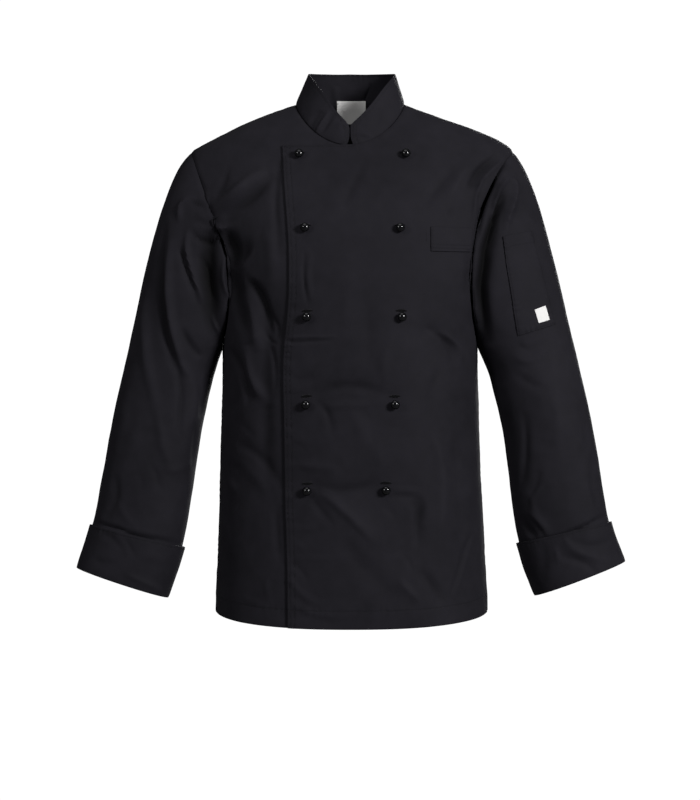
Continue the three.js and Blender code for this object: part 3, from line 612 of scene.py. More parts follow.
def cloth_material(settings):
    """Black cotton drill: twill lines, fine wrinkles and sunk stitch rows, with painted light on fold ridges
    and painted shade in fold valleys, stitch rows and along the edges
    """
    shader = Shader("black_drill")
    place = shader.place()
    weave = shader.value("ShaderNodeUVMap", {"uv_map": "Weave"})
    across, along, _ = shader.parts(weave)
    turns = 2 * math.pi / settings.twill
    twill = ((across * 0.55 + along * 0.83) * turns).sine()
    ply = ((across * 0.83 - along * 0.55) * (turns * 0.5)).sine()
    broad = shader.noise(place, 9, 3.0)
    fine = shader.noise(place, 55, 3.0)
    grain = shader.noise(place, 900, 1.0)
    grooves = 0.0
    for name in ROW_ATTRIBUTES:
        grooves = (shader.attribute(name) * (1 / ROW_WIDTH)).bell() + grooves
    edge = shader.attribute("Edge")
    # Painted shade: the cloth darkens a little near every edge, and the very rims go towards the painted shade
    # colour
    edge_shade = (edge * (1 / EDGE_SHADE_WIDTH)).bell()
    rim_shade = (edge * (1 / RIM_SHADE_WIDTH)).bell()
    relief = shader.attribute("Relief")
    # Painted shade: deep fold hollows and the very rims are mixed towards the painted shade colour
    painted_shade = shader.limited((relief + FOLD_SHADE_FROM) * (-1 / FOLD_SHADE_DEPTH) + rim_shade * 0.45)
    # Noise and twill give the cloth's own uneven tone; relief adds painted light on fold ridges and painted
    # shade in their valleys, and the edges and the stitch rows' grooves get painted shade
    shade = broad * 1.5 + fine * 0.9 - edge_shade * 0.2 + twill * 0.06 + relief * 0.06 - grooves * 0.2 - 0.67
    height = (twill * 0.022 + ply * 0.01 + grain * 0.03 + fine * 0.45 - grooves * 0.22) * MM
    base = shader.mix(shader.limited(shade), colour(settings.dark), colour(settings.light))
    return shader.finish(
        height=height,
        Base_Color=shader.mix(painted_shade, base, colour(settings.painted_shade)),
        Roughness=fine * 0.12 + grain * 0.08 + 0.66,
        Specular_IOR_Level=0.08,
        Sheen_Weight=0.012,
        Sheen_Roughness=0.5,
    )


def thread_material(settings):
    """Polyester thread, with its ply as a fine twist"""
    shader = Shader("black_thread")
    place = shader.place()
    twist = shader.noise(place, 1400, 1.0)
    base = shader.mix(twist, colour(settings.thread), colour(settings.thread, 1.7))
    return shader.finish(
        height=twist * (0.06 * MM), Base_Color=base, Roughness=twist * 0.2 + 0.5, Specular_IOR_Level=0.12
    )


def buttonhole_shade_material():
    """Painted shade: a near-black sheet for the dark inside of a buttonhole"""
    shader = Shader("slit")
    place = shader.place()
    lint = shader.noise(place, 1200, 1.0)
    base = shader.mix(lint, (0.001, 0.001, 0.001, 1), (0.004, 0.004, 0.005, 1))
    return shader.finish(height=lint * (0.05 * MM), Base_Color=base, Roughness=0.95, Specular_IOR_Level=0.1)


def stud_material(settings):
    """Moulded glossy plastic, with faint swirls and handling marks"""
    shader = Shader("black_gloss")
    place = shader.place()
    swirl = shader.noise(place, 260, 3.0)
    marks = shader.noise(place, 1500, 2.0)
    base = shader.mix(swirl, colour(settings.stud), colour(settings.stud, 1.8))
    return shader.finish(
        height=swirl * (0.006 * MM),
        Base_Color=base,
        Roughness=marks * 0.05 + swirl * 0.03 + 0.03,
        Specular_IOR_Level=0.4,
    )


def label_material(settings):
    """White woven tape with its ribs"""
    shader = Shader("white_tape")
    place = shader.place()
    across, _, up = shader.parts(place)
    ribs = (up * (2 * math.pi / (0.7 * MM))).sine()
    warp = (across * (2 * math.pi / (0.5 * MM))).sine()
    cloud = shader.noise(place, 120, 2.0)
    base = shader.mix(cloud * 0.6 + ribs * 0.1 + 0.1, colour(settings.label, 0.86), colour(settings.label))
    return shader.finish(
        height=ribs * (0.03 * MM) + warp * (0.015 * MM),
        Base_Color=base,
        Roughness=cloud * 0.15 + 0.6,
        Sheen_Weight=0.1,
        Specular_IOR_Level=0.3,
    )


def stage_material():
    """A plain pale studio floor"""
    shader = Shader("pale_floor")
    place = shader.place()
    cloud = shader.noise(place, 3, 2.0)
    base = shader.mix(cloud, (0.12, 0.12, 0.12, 1), (0.14, 0.14, 0.14, 1))
    pale = shader.value("ShaderNodeBsdfDiffuse", {}, {"Color": base})
    white = shader.value("ShaderNodeEmission", {}, {"Color": (1, 1, 1, 1), "Strength": 1.05})
    seen = shader.value("ShaderNodeLightPath")
    mixed = shader.value("ShaderNodeMixShader", {}, {0: seen, 1: pale, 2: white})
    return shader.joined(mixed)


def material(name, make, *settings):
    """The material of this name, made once"""
    return bpy.data.materials.get(name) or make(*settings)


def black_drill():
    """The cloth of every panel"""
    return material("black_drill", cloth_material, bpy.context.scene.jacket_cloth)


def link(name, bm, *materials):
    """A new object at the origin, from a bmesh"""
    mesh = bpy.data.meshes.new(name)
    bm.to_mesh(mesh)
    bm.free()
    for finish in materials:
        mesh.materials.append(finish)
    made = bpy.data.objects.new(name, mesh)
    bpy.context.scene.collection.objects.link(made)
    return made


def applied(made):
    """The object with its modifiers applied to its mesh"""
    bpy.context.view_layer.update()
    evaluated = made.evaluated_get(bpy.context.evaluated_depsgraph_get())
    mesh = bpy.data.meshes.new_from_object(evaluated)
    made.modifiers.clear()
    made.data = mesh
    return made


def trunk(place):
    """The middle of the trunk at a place's level"""
    return Vector((0, 0, min(place.z, TRUNK_TOP)))


def arm(place):
    """The middle of the nearer arm at a place's level"""
    level = min(place.z, ARM_TOP)
    if level > ELBOW:
        out = ELBOW_OUT + (ARM_TOP_OUT - ELBOW_OUT) * (level - ELBOW) / (ARM_TOP - ELBOW)
    else:
        out = ELBOW_OUT + FOREARM_SLOPE * (ELBOW - level)
    return Vector((math.copysign(out, place.x), 0, level))


def neck(place):
    """The middle of the neck at a place's level"""
    return Vector((0, 0, place.z))


def behind(place):
    """A place behind, for a piece that faces the front"""
    return place + Vector((0, 1, 0))


def is_outer(face, core, tree):
    """Whether a face is on the outer side of a wall, with the inner side straight behind it"""
    middle = face.calc_center_median()
    if face.normal.dot(middle - core(middle)) <= 0:
        return False
    _, opposite, _, _ = tree.ray_cast(middle - face.normal * (0.05 * MM), -face.normal, THICKEST)
    return opposite is not None and opposite.dot(face.normal) < 0


def outer_layer(node, core):
    """The outward face of a CAD wall, mostly as quads"""
    bm = bmesh.new()
    bm.from_mesh(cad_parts[node].data)
    bmesh.ops.remove_doubles(bm, verts=bm.verts, dist=MERGE)
    bm.normal_update()
    tree = BVHTree.FromBMesh(bm)
    left = {face for face in bm.faces if is_outer(face, core, tree)}
    largest = set()
    while left:
        first = left.pop()
        island, waiting = {first}, [first]
        while waiting:
            for edge in waiting.pop().edges:
                if edge.calc_face_angle(math.pi) > RIM_ANGLE:
                    continue
                found = left.intersection(edge.link_faces)
                left -= found
                island |= found
                waiting += found
        largest = max(largest, island, key=len)
    if not largest:
        raise RuntimeError(f"{node} has no outward face")
    slivers = [
        face
        for face in bm.faces
        if face not in largest and sum(bool(largest.intersection(e.link_faces)) for e in face.edges) > 1
    ]
    largest.update(slivers)
    bmesh.ops.delete(bm, geom=[f for f in bm.faces if f not in largest], context="FACES")
    bmesh.ops.join_triangles(bm, faces=bm.faces, angle_face_threshold=math.pi, angle_shape_threshold=math.pi)
    return bm


def smoothed(bm, times):
    """Evens out a layer inside its border"""
    inside = [v for v in bm.verts if not v.is_boundary]
    for _ in range(times):
        bmesh.ops.smooth_vert(
            bm, verts=inside, factor=SMOOTHING, use_axis_x=True, use_axis_y=True, use_axis_z=True
        )
    bm.normal_update()
    return bm


def refined(bm, smoothings=SMOOTHINGS):
    """The layer with finer, rounder faces, as a bmesh"""
    draft = link("draft", bm)
    modifier = draft.modifiers.new("Finer", "SUBSURF")
    modifier.levels = LEVELS
    modifier.render_levels = LEVELS
    modifier.boundary_smooth = "PRESERVE_CORNERS"
    applied(draft)
    fine = bmesh.new()
    fine.from_mesh(draft.data)
    bpy.data.objects.remove(draft)
    return smoothed(fine, smoothings)


def body_edge(middle, along):
    """Which edge of a body panel a place on its border belongs to"""
    steep = abs(along.z) > STEEP * along.length
    wide = abs(middle.x)
    if middle.z < HEM_BELOW_Z and not steep:
        return "hem"
    if middle.z < VENT_BELOW_Z and wide > SIDE_BEYOND_X:
        return "vent"
    if middle.z < UNDERARM_Z and wide > SIDE_BEYOND_X:
        return "side"
    if middle.z < SHOULDER_Z and wide > SIDE_BEYOND_X:
        return "armhole"
    if middle.z < SHOULDER_Z and steep:
        return "free"
    ratio = math.hypot(middle.x / NECK_HALF_WIDTH, middle.y / NECK_DEPTH)
    if middle.z < SHOULDER_Z and (middle.x < TOP_WITHIN_X or ratio > NECK_WITHIN):
        return "top"
    return "neck" if ratio < NECK_WITHIN else "shoulder"


def sleeve_edge(middle, along):
    """Which edge of a sleeve a place on its border belongs to"""
    return "armhole" if middle.z > SLEEVE_END_BELOW_Z else "end"


def cuff_edge(middle, along):
    """Which edge of a cuff a place on its border belongs to"""
    return "top" if middle.z - CUFF_SLOPE * abs(middle.x) > CUFF_MIDDLE else "fold"


def collar_edge(middle, along):
    """Which edge of the collar a place on its border belongs to"""
    if abs(middle.x) < COLLAR_END_WITHIN_X and middle.y < 0 and abs(along.z) > STEEP * along.length:
        return "end"
    ratio = math.hypot(middle.x / NECK_HALF_WIDTH, middle.y / NECK_DEPTH)
    return "foot" if ratio > COLLAR_FOOT_BEYOND else "top"


def patch_edge(centre):
    """Tells the four edges of a patch apart, by its middle"""

    def label(middle, along):
        if abs(along.z) > abs(along.x):
            return "left" if middle.x < centre.x else "right"
        return "top" if middle.z > centre.z else "bottom"

    return label


def border_runs(bm, label):
    """The border as ordered runs: an edge's label, and its places as middle, way in, start, end and edge"""
    border = [e for e in bm.edges if e.is_boundary]
    left = set(border)
    runs = []
    for first in border:
        if first not in left:
            continue
        left.remove(first)
        chain = [first]
        vertex = first.verts[1]
        while True:
            following = next((e for e in vertex.link_edges if e in left), None)
            if following is None:
                break
            left.remove(following)
            chain.append(following)
            vertex = following.other_vert(vertex)
        marks = [label((e.verts[0].co + e.verts[1].co) / 2, e.verts[1].co - e.verts[0].co) for e in chain]
        turn = next((i for i in range(len(chain)) if marks[i] != marks[i - 1]), 0)
        chain = chain[turn:] + chain[:turn]
        marks = marks[turn:] + marks[:turn]
        for edge, mark in zip(chain, marks):
            face = edge.link_faces[0]
            middle = (edge.verts[0].co + edge.verts[1].co) / 2
            along = edge.verts[1].co - edge.verts[0].co
            inward = face.normal.cross(along).normalized()
            if inward.dot(face.calc_center_median() - middle) < 0:
                inward.negate()
            entry = (middle, inward, edge.verts[0].co.copy(), edge.verts[1].co.copy(), edge)
            if edge is chain[0] or runs[-1][0] != mark:
                runs.append((mark, []))
            runs[-1][1].append(entry)
    return runs


def distances(points, runs, label):
    """How far each point lies from a labelled edge, and how far along it"""
    samples = []
    length = 0.0
    for mark, entries in runs:
        if mark != label:
            continue
        for _, _, start, end, _ in entries:
            for i in range(EDGE_SAMPLES):
                share = i / EDGE_SAMPLES
                samples.append((start.lerp(end, share), length + share * (end - start).length))
            length += (end - start).length
    if not samples:
        return None, None
    tree = kdtree.KDTree(len(samples))
    for i, (place, _) in enumerate(samples):
        tree.insert(place, i)
    tree.balance()
    away = np.empty(len(points))
    run = np.empty(len(points))
    for i, point in enumerate(points):
        _, nearest, distance = tree.find(point)
        away[i] = distance
        run[i] = samples[nearest][1]
    return away, run


def fold_heights(points, normals, group):
    """How far the folds push each point out along its normal"""
    heights = np.zeros(len(points))
    wander = np.array([noise.noise_vector(Vector(p) * WANDER_SCALE) for p in points]) * WANDER
    flat = (points + wander)[:, (0, 2)] / MM
    shares = np.linspace(0, 1, FOLD_STEPS + 1)[:, None]
    folds = [(face, Fold(*row)) for (owner, face), rows in FOLDS.items() if owner == group for row in rows]
    for face, fold in folds:
        start, pull, end = np.array(fold[:6], float).reshape(3, 2)
        line = start * (1 - shares) ** 2 + pull * 2 * shares * (1 - shares) + end * shares**2
        reach = FOLD_REACH * fold.width
        low, high = line.min(0) - reach, line.max(0) + reach
        near = np.nonzero(((flat > low) & (flat < high)).all(1))[0]
        if not len(near):
            continue
        spot = flat[near][:, None, :]
        steps = line[1:] - line[:-1]
        offset = spot - line[:-1]
        along = np.clip((offset * steps).sum(2) / (steps**2).sum(1), 0, 1)
        across = offset - along[..., None] * steps
        away = np.hypot(across[..., 0], across[..., 1])
        nearest = away.argmin(1)
        rows = np.arange(len(near))
        step = steps[nearest]
        side = np.sign(step[:, 0] * across[rows, nearest, 1] - step[:, 1] * across[rows, nearest, 0])
        place = (nearest + along[rows, nearest]) / FOLD_STEPS
        width = fold.width * (1 + fold.lean * side)
        bell = np.exp(-((away[rows, nearest] / width) ** 2))
        taper = np.sin(np.pi * place) ** FOLD_TAPER
        towards = -normals[near, 1] if face == "front" else normals[near, 1]
        facing = np.clip(towards / FOLD_FULL_WHERE_FACING, 0, 1)
        heights[near] += fold.height * MM * bell * taper * facing
    return heights


def unevenness(points):
    """The slight waves that any cloth has after wearing"""
    total = np.zeros(len(points))
    for height, scale in UNEVEN:
        total += height * np.array([noise.noise(Vector(p) * scale) for p in points])
    return total


def puckers(run):
    """Uneven short waves along a sewn edge, from -1 to 1"""
    turns = run * 2 * np.pi
    drift, sway = PUCKER_DRIFT
    swell, part = PUCKER_SWELL
    wave = np.sin(turns / PUCKER_WAVE + sway * np.sin(turns / drift))
    return wave * (1 - part + part * np.sin(turns / swell))


def shaped(bm, piece, label):
    """Folds, seams and puckers on a fine layer; keeps its border and surface for what is sewn on it"""
    runs = border_runs(bm, label)
    points = np.array([v.co for v in bm.verts])
    normals = np.array([v.normal for v in bm.verts])
    folds = fold_heights(points, normals, piece.folds) * bpy.context.scene.jacket_cloth.fold_depth
    heights = folds + unevenness(points)
    edge = np.full(len(points), FAR)
    rows = []
    for seam in SEAMS:
        if seam.piece != piece.name:
            continue
        away, run = distances(points, runs, seam.edge)
        if away is None:
            raise RuntimeError(f"{piece.name} has no edge named {seam.edge}")
        middle = (sum(seam.rows) / len(seam.rows) if seam.rows else PUCKER_FROM_EDGE) * MM
        heights -= seam.sink * MM * np.exp(-((away / SINK_WIDTH) ** 2))
        heights += seam.pucker * MM * puckers(run) * np.exp(-(((away - middle) / PUCKER_WIDTH) ** 2))
        edge = np.minimum(edge, away)
        rows += [away - row * MM for row in seam.rows]
    for vertex, normal, height in zip(bm.verts, normals, heights):
        vertex.co += Vector(normal) * height
    bm.normal_update()
    surfaces[piece.name] = BVHTree.FromBMesh(bm)
    edges_of[piece.name] = [(mark, [entry[:2] for entry in entries]) for mark, entries in runs]
    rows += [np.full(len(points), FAR)] * (len(ROW_ATTRIBUTES) - len(rows))
    # Relief carries the folds' heights to the material, which paints light on their ridges and shade in their
    # valleys; Edge is the distance that the painted edge shade follows
    for name, values in zip(("Relief", "Edge", *ROW_ATTRIBUTES), (folds / MM, edge, *rows)):
        layer = bm.verts.layers.float.new(name)
        for vertex, value in zip(bm.verts, values):
            vertex[layer] = value
    tuck(bm, [entry for mark, entries in runs if mark in TUCKED.get(piece.name, ()) for entry in entries])
    return bm


def tuck(bm, entries):
    """Takes a piece on under its neighbour: a step in at the seam, then on past it"""
    if not entries:
        return
    outward, depth = {}, {}
    for _, inward, _, _, edge in entries:
        for vertex in edge.verts:
            outward[vertex] = outward.get(vertex, Vector()) - inward
            depth[vertex] = -vertex.normal
    known = entries[0][4].link_faces[0]
    facing = known.normal.copy()
    edges = [entry[4] for entry in entries]
    for way, distance in ((depth, TUCK_STEP), (outward, TUCK_LENGTH)):
        grown = bmesh.ops.extrude_edge_only(bm, edges=edges)["geom"]
        new = {g for g in grown if isinstance(g, bmesh.types.BMVert)}
        edges = [g for g in grown if isinstance(g, bmesh.types.BMEdge)]
        for vertex in new:
            source = next(e.other_vert(vertex) for e in vertex.link_edges if e.other_vert(vertex) not in new)
            outward[vertex] = outward[source]
            depth[vertex] = depth[source]
        for vertex in new:
            vertex.co += way[vertex].normalized() * distance
    bmesh.ops.recalc_face_normals(bm, faces=bm.faces)
    known.normal_update()
    if known.normal.dot(facing) < 0:
        bmesh.ops.reverse_faces(bm, faces=bm.faces)
    bm.normal_update()


def weave_map(bm, around):
    """Lays the weave on the cloth, in metres, by a function from a place to its two coordinates"""
    layer = bm.loops.layers.uv.new("Weave")
    for face in bm.faces:
        spots = [around(corner.vert.co) for corner in face.loops]
        for corner, (across, up, full) in zip(face.loops, spots):
            if across - spots[0][0] > full / 2:
                across -= full
            elif spots[0][0] - across > full / 2:
                across += full
            corner[layer].uv = (across, up)
    return bm


def round_body(co):
    """The weave's place round the trunk"""
    angle = math.atan2(co.x / TRUNK_HALF_WIDTH, -co.y / TRUNK_HALF_DEPTH)
    return angle * TRUNK_RADIUS, co.z, 2 * math.pi * TRUNK_RADIUS


def round_arm(side):
    """The weave's place round a sleeve, whose middle line leans out"""

    def around(co):
        out = ELBOW_OUT + FOREARM_SLOPE * max(ELBOW - co.z, 0)
        angle = math.atan2(co.x * side - out, -co.y - ARM_FORWARD)
        return angle * ARM_RADIUS, co.z * SLEEVE_STRETCH, 2 * math.pi * ARM_RADIUS

    return around


def flat_weave(co):
    """The weave's place on a flat patch"""
    return co.x, co.z, NO_TURN


def thickened(bm, piece, outward=False):
    """The layer as a thin wall with rounded edges, standing for its CAD node"""
    made = link(piece.name, bm, black_drill())
    modifier = made.modifiers.new("Wall", "SOLIDIFY")
    modifier.thickness = piece.wall
    modifier.offset = 1 if outward else -1
    applied(made)
    wall = bmesh.new()
    wall.from_mesh(made.data)
    rims = [e for e in wall.edges if e.calc_face_angle(0) > SHARP_ANGLE]
    bmesh.ops.bevel(
        wall, geom=rims, offset=ROUND_EDGE, affect="EDGES", segments=2, profile=0.5, material=-1,
        clamp_overlap=True,
    )
    for face in wall.faces:
        face.smooth = True
    wall.to_mesh(made.data)
    wall.free()
    return made


def placed(made, node=None):
    """The piece rides on the jacket's one body"""
    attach(made, BODY)
    if node:
        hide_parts(node)
    return made


def add_stitch(bm, place, along, normal, length=STITCH_LENGTH, radius=STITCH_RADIUS):
    """One stitch: a flattened thread that lies along a direction on the cloth"""
    side = normal.cross(along).normalized()
    axis = side.cross(normal).normalized()
    turn = Matrix((side, normal, axis)).transposed().to_4x4()
    flatten = Matrix.Diagonal((1, STITCH_FLATNESS, 1, 1))
    bmesh.ops.create_cone(
        bm,
        cap_ends=True,
        segments=STITCH_SIDES,
        radius1=radius * STITCH_CORE,
        radius2=radius * STITCH_CORE,
        depth=length,
        matrix=Matrix.Translation(place) @ turn @ flatten,
    )


def sewn_path(piece, edge, offset):
    """Places on the cloth at a distance in from an edge, with the cloth's normals there"""
    surface = surfaces[piece]
    paths = []
    for mark, entries in edges_of[piece]:
        if mark != edge:
            continue
        path = []
        for middle, inward in entries:
            place, normal, _, _ = surface.find_nearest(middle + inward * offset)
            path.append((place, normal))
        paths.append(path)
    return paths


def sew(bm, path):
    """Stitches along a path"""
    due = STITCH_PITCH / 2
    gone = 0.0
    for (start, normal), (end, _) in zip(path, path[1:]):
        step = end - start
        length = step.length
        if length < MERGE:
            continue
        while due <= gone + length:
            place = start + step * ((due - gone) / length)
            add_stitch(bm, place + normal * ROW_LIFT, step, normal)
            due += STITCH_PITCH
        gone += length


def row_between(piece, start, end, count):
    """A path over a piece between two places in the view from the front, in millimetres"""
    surface = surfaces[piece]
    path = []
    for i in range(count + 1):
        x, z = (a + (b - a) * i / count for a, b in zip(start, end))
        hit, normal, _, _ = surface.ray_cast(Vector((x * MM, -1, z * MM)), Vector((0, 1, 0)))
        if hit is not None:
            path.append((hit, normal))
    return path


def cloth_piece(piece, core, label, around, smoothings=SMOOTHINGS):
    """Makes a piece of cloth from the outer layer of its CAD node"""
    bm = shaped(refined(outer_layer(piece.node, core), smoothings), piece, label)
    made = thickened(weave_map(bm, around), piece)
    placed(made, piece.node)


class JACKET_OT_panels(bpy.types.Operator):
    """Makes the two fronts and the back"""

    bl_idname = "jacket.panels"
    bl_label = "Fronts and Back"

    def execute(self, context):
        for piece in PANELS:
            cloth_piece(piece, trunk, body_edge, round_body)
        return {"FINISHED"}


class JACKET_OT_sleeves(bpy.types.Operator):
    """Makes the sleeves and their turned-back cuffs"""

    bl_idname = "jacket.sleeves"
    bl_label = "Sleeves and Cuffs"

    def execute(self, context):
        for side, sleeve, cuff in zip((1, -1), SLEEVES, CUFFS):
            cloth_piece(sleeve, arm, sleeve_edge, round_arm(side))
            cloth_piece(cuff, arm, cuff_edge, round_arm(side))
        return {"FINISHED"}


class JACKET_OT_collar(bpy.types.Operator):
    """Makes the stand collar"""

    bl_idname = "jacket.collar"
    bl_label = "Collar"

    def execute(self, context):
        cloth_piece(COLLAR, neck, collar_edge, round_body, COLLAR_SMOOTHINGS)
        return {"FINISHED"}


def laid_on(piece, base, lift):
    """A patch that lies on a piece: made from that piece's points, moved out"""
    bm = refined(outer_layer(piece.node, behind), PATCH_SMOOTHINGS)
    for vertex in bm.verts:
        place, normal, _, _ = surfaces[base].find_nearest(vertex.co)
        vertex.co = place + normal * lift
    return smoothed(bm, LAID_SMOOTHINGS)


class JACKET_OT_pockets(bpy.types.Operator):
    """Makes the chest pocket and the sleeve pocket"""

    bl_idname = "jacket.pockets"
    bl_label = "Pockets"

    def execute(self, context):
        for piece, base in ((CHEST_POCKET, "over_front"), (SLEEVE_POCKET, "left_sleeve")):
            bm = laid_on(piece, base, POCKET_LIFT)
            centre = sum((v.co for v in bm.verts), Vector()) / len(bm.verts)
            bm = shaped(bm, piece._replace(folds="none"), patch_edge(centre))
            made = thickened(weave_map(bm, flat_weave), piece, outward=True)
            placed(made, piece.node)
        return {"FINISHED"}


class JACKET_OT_labels(bpy.types.Operator):
    """Makes the two bare labels"""

    bl_idname = "jacket.labels"
    bl_label = "Labels"

    def execute(self, context):
        tape = material("white_tape", label_material, context.scene.jacket_trim)
        bm = laid_on(SLEEVE_TAB, "left_sleeve", SLEEVE_TAB_LIFT)
        made = thickened(weave_map(bm, flat_weave), SLEEVE_TAB, outward=True)
        made.data.materials[0] = tape
        placed(made, SLEEVE_TAB.node)
        bm = refined(outer_layer(NECK_TAB.node, behind), PATCH_SMOOTHINGS)
        for vertex in bm.verts:
            vertex.co.z = NECK_TAB_TOP - (NECK_TAB_TOP - vertex.co.z) * NECK_TAB_SHARE
            low = (NECK_TAB_TOP - vertex.co.z) / NECK_TAB_LENGTH
            wave = NECK_TAB_WAVE * math.sin(vertex.co.x * NECK_TAB_TURNS) * low
            vertex.co.y -= NECK_TAB_SWING * low**2 + wave
        bm.normal_update()
        made = thickened(weave_map(bm, flat_weave), NECK_TAB)
        made.data.materials[0] = tape
        placed(made, NECK_TAB.node)
        return {"FINISHED"}


def stud_seat(node):
    """Where a stud stands on the over front, and the cloth's normal there"""
    low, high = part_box(node)
    place, normal, _, _ = surfaces["over_front"].find_nearest((low + high) / 2)
    return place, normal


class JACKET_OT_studs(bpy.types.Operator):
    """Makes the ten stud buttons"""

    bl_idname = "jacket.studs"
    bl_label = "Studs"

    def execute(self, context):
        gloss = material("black_gloss", stud_material, context.scene.jacket_trim)
        for stud in STUDS:
            place, normal = stud_seat(stud.node)
            bm = bmesh.new()
            profile = [bm.verts.new((radius * MM, 0, height * MM)) for radius, height in STUD_PROFILE]
            line = [bm.edges.new(pair) for pair in zip(profile, profile[1:])]
            bmesh.ops.spin(
                bm, geom=profile + line, cent=(0, 0, 0), axis=(0, 0, 1), angle=2 * math.pi,
                steps=STUD_STEPS, use_merge=True,
            )
            bmesh.ops.remove_doubles(bm, verts=bm.verts, dist=MERGE)
            bmesh.ops.recalc_face_normals(bm, faces=bm.faces)
            droop = (normal + Vector((0, 0, -STUD_DROOP))).normalized()
            turn = droop.to_track_quat("Z", "Y").to_matrix().to_4x4()
            bmesh.ops.transform(bm, matrix=Matrix.Translation(place) @ turn, verts=bm.verts)
            for face in bm.faces:
                face.smooth = True
            made = link(stud.node.replace("button", "stud"), bm, gloss)
            modifier = made.modifiers.new("Round", "SUBSURF")
            modifier.levels = 1
            modifier.render_levels = 1
            placed(made, stud.node)
        return {"FINISHED"}


class JACKET_OT_buttonholes(bpy.types.Operator):
    """Makes the stitched buttonhole behind each stud, with a near-black disc of painted shade over its opening
    """

    bl_idname = "jacket.buttonholes"
    bl_label = "Buttonholes"

    def execute(self, context):
        thread = material("black_thread", thread_material, context.scene.jacket_trim)
        slit = material("slit", buttonhole_shade_material)
        for stud in STUDS:
            seat, normal = stud_seat(stud.node)
            up = Vector((0, 0, 1))
            centre, normal, _, _ = surfaces["over_front"].find_nearest(seat + up * (stud.rise * MM))
            level = Matrix.Rotation(math.radians(stud.tilt), 3, normal) @ up.cross(normal).normalized()
            rise = normal.cross(level).normalized()
            bm = bmesh.new()
            straight = HOLE_LENGTH / 2 - HOLE_HALF_WIDTH
            for i in range(HOLE_STITCHES):
                angle = 2 * math.pi * i / HOLE_STITCHES
                reach = math.cos(angle)
                ahead, out, way = straight * reach, math.copysign(HOLE_HALF_WIDTH, math.sin(angle)), rise
                if abs(reach) > HOLE_END_SHARE:
                    ahead, out, way = ahead + math.copysign(HOLE_HALF_WIDTH, reach), 0, level
                place, facing, _, _ = surfaces["over_front"].find_nearest(centre + level * ahead + rise * out)
                add_stitch(bm, place + facing * HOLE_LIFT, way, facing, *HOLE_STITCH)
            ends = len(bm.faces)
            # Painted shade: a thin near-black disc, just off the cloth, fills the buttonhole's opening
            turn = Matrix((level, rise, normal)).transposed().to_4x4()
            size = Matrix.Diagonal((HOLE_LENGTH / 2, HOLE_HALF_WIDTH, 1, 1))
            bmesh.ops.create_cone(
                bm, cap_ends=True, segments=HOLE_SEGMENTS, radius1=1, radius2=1, depth=HOLE_SHADE_DEPTH,
                matrix=Matrix.Translation(centre + normal * HOLE_SHADE_LIFT) @ turn @ size,
            )
            bm.faces.ensure_lookup_table()
            for face in bm.faces[ends:]:
                face.material_index = 1
            hole = link(stud.node.replace("button", "buttonhole"), bm, thread, slit)
            placed(hole)
        return {"FINISHED"}


class JACKET_OT_stitching(bpy.types.Operator):
    """Makes the topstitching, with the bartacks"""

    bl_idname = "jacket.stitching"
    bl_label = "Stitching"

    def execute(self, context):
        thread = material("black_thread", thread_material, context.scene.jacket_trim)
        for piece in sorted({seam.piece for seam in SEAMS if seam.rows}):
            bm = bmesh.new()
            for seam in SEAMS:
                if seam.piece != piece:
                    continue
                for row in seam.rows:
                    for path in sewn_path(piece, seam.edge, row * MM):
                        sew(bm, path)
            made = link(f"{piece}_stitches", bm, thread)
            placed(made)
        bm = bmesh.new()
        for piece, start, end in BARTACKS:
            for place, normal in row_between(piece, start, end, BARTACK_STITCHES):
                way = normal.cross(Vector((1, 0, 0.2)))
                add_stitch(bm, place + normal * BARTACK_LIFT, way, normal, *BARTACK_STITCH)
        for piece, start, end, count in LINES:
            sew(bm, row_between(piece, start, end, count))
        made = link("bartacks", bm, thread)
        placed(made)
        return {"FINISHED"}


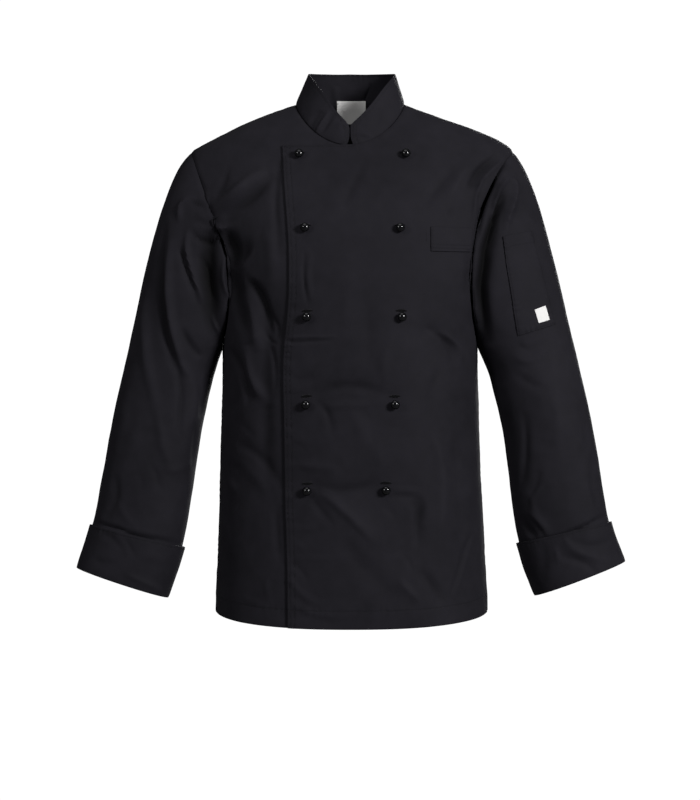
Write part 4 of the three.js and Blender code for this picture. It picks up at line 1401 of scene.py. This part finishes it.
class JACKET_OT_studio(bpy.types.Operator):
    """Makes the floor, the lights and the camera"""

    bl_idname = "jacket.studio"
    bl_label = "Studio"

    def execute(self, context):
        studio = context.scene.jacket_studio
        bm = bmesh.new()
        profile = [(-FLOOR_HALF_WIDTH, 0), (FLOOR_BACK, 0)]
        for turn in map(math.radians, FLOOR_CURVE_STEPS):
            profile.append((FLOOR_BACK + FLOOR_CURVE * math.sin(turn), FLOOR_CURVE * (1 - math.cos(turn))))
        profile.append((FLOOR_BACK + FLOOR_CURVE, WALL_TOP))
        line = [bm.verts.new((-FLOOR_HALF_WIDTH, back, studio.floor + up)) for back, up in profile]
        edges = [bm.edges.new(pair) for pair in zip(line, line[1:])]
        swept = bmesh.ops.extrude_edge_only(bm, edges=edges)["geom"]
        far_side = [g for g in swept if isinstance(g, bmesh.types.BMVert)]
        bmesh.ops.translate(bm, vec=(2 * FLOOR_HALF_WIDTH, 0, 0), verts=far_side)
        bmesh.ops.recalc_face_normals(bm, faces=bm.faces)
        for face in bm.faces:
            face.smooth = True
        floor = link("studio_floor", bm, material("pale_floor", stage_material))
        for name, (place, size) in LIGHTS.items():
            lamp = bpy.data.lights.new(name, "AREA")
            lamp.energy = getattr(studio, name)
            lamp.size = size
            held = bpy.data.objects.new(name, lamp)
            held.visible_camera = False
            context.scene.collection.objects.link(held)
            held.location = place
            held.rotation_euler = (AIM - Vector(place)).to_track_quat("-Z", "Y").to_euler()
        air = Shader("studio", bpy.data.worlds)
        sockets = {0: air.value("ShaderNodeLightPath")}
        for side, strength in ((1, studio.ambient), (2, 1.0)):
            light = {"Color": (1, 1, 1, 1), "Strength": strength}
            sockets[side] = air.value("ShaderNodeBackground", {}, light)
        mixed = air.value("ShaderNodeMixShader", {}, sockets)
        context.scene.world = air.joined(mixed, "ShaderNodeOutputWorld")
        context.scene.view_settings.view_transform = "Standard"
        lens = bpy.data.cameras.new("camera")
        lens.lens = studio.lens
        lens.dof.use_dof = False
        camera = bpy.data.objects.new("camera", lens)
        context.scene.collection.objects.link(camera)
        camera.location = (0, -studio.distance, studio.height)
        camera.rotation_euler = (math.radians(90), 0, 0)
        context.scene.camera = camera
        return {"FINISHED"}


class JACKET_PT_panel(bpy.types.Panel):
    """Lists what makes the jacket"""

    bl_label = "Chef Jacket"
    bl_space_type = "VIEW_3D"
    bl_region_type = "UI"
    bl_category = "Chef Jacket"

    def draw(self, context):
        for name in ("jacket_cloth", "jacket_trim", "jacket_studio"):
            settings = getattr(context.scene, name)
            for key in settings.__annotations__:
                self.layout.prop(settings, key)
        for operator in OPERATORS:
            self.layout.operator(operator.bl_idname)


GROUPS = {"jacket_cloth": JacketCloth, "jacket_trim": JacketTrim, "jacket_studio": JacketStudio}
OPERATORS = (
    JACKET_OT_studio,
    JACKET_OT_panels,
    JACKET_OT_sleeves,
    JACKET_OT_collar,
    JACKET_OT_pockets,
    JACKET_OT_labels,
    JACKET_OT_studs,
    JACKET_OT_buttonholes,
    JACKET_OT_stitching,
)


def register():
    for made in (*GROUPS.values(), *OPERATORS, JACKET_PT_panel):
        bpy.utils.register_class(made)
    for name, group in GROUPS.items():
        setattr(bpy.types.Scene, name, PointerProperty(type=group))


def unregister():
    for name in GROUPS:
        delattr(bpy.types.Scene, name)
    for made in (JACKET_PT_panel, *OPERATORS[::-1], *GROUPS.values()):
        bpy.utils.unregister_class(made)


def main():
    """Makes every piece in order"""
    register()
    for operator in OPERATORS:
        group, name = operator.bl_idname.split(".")
        getattr(getattr(bpy.ops, group), name)()


if __name__ == "__main__":
    main()
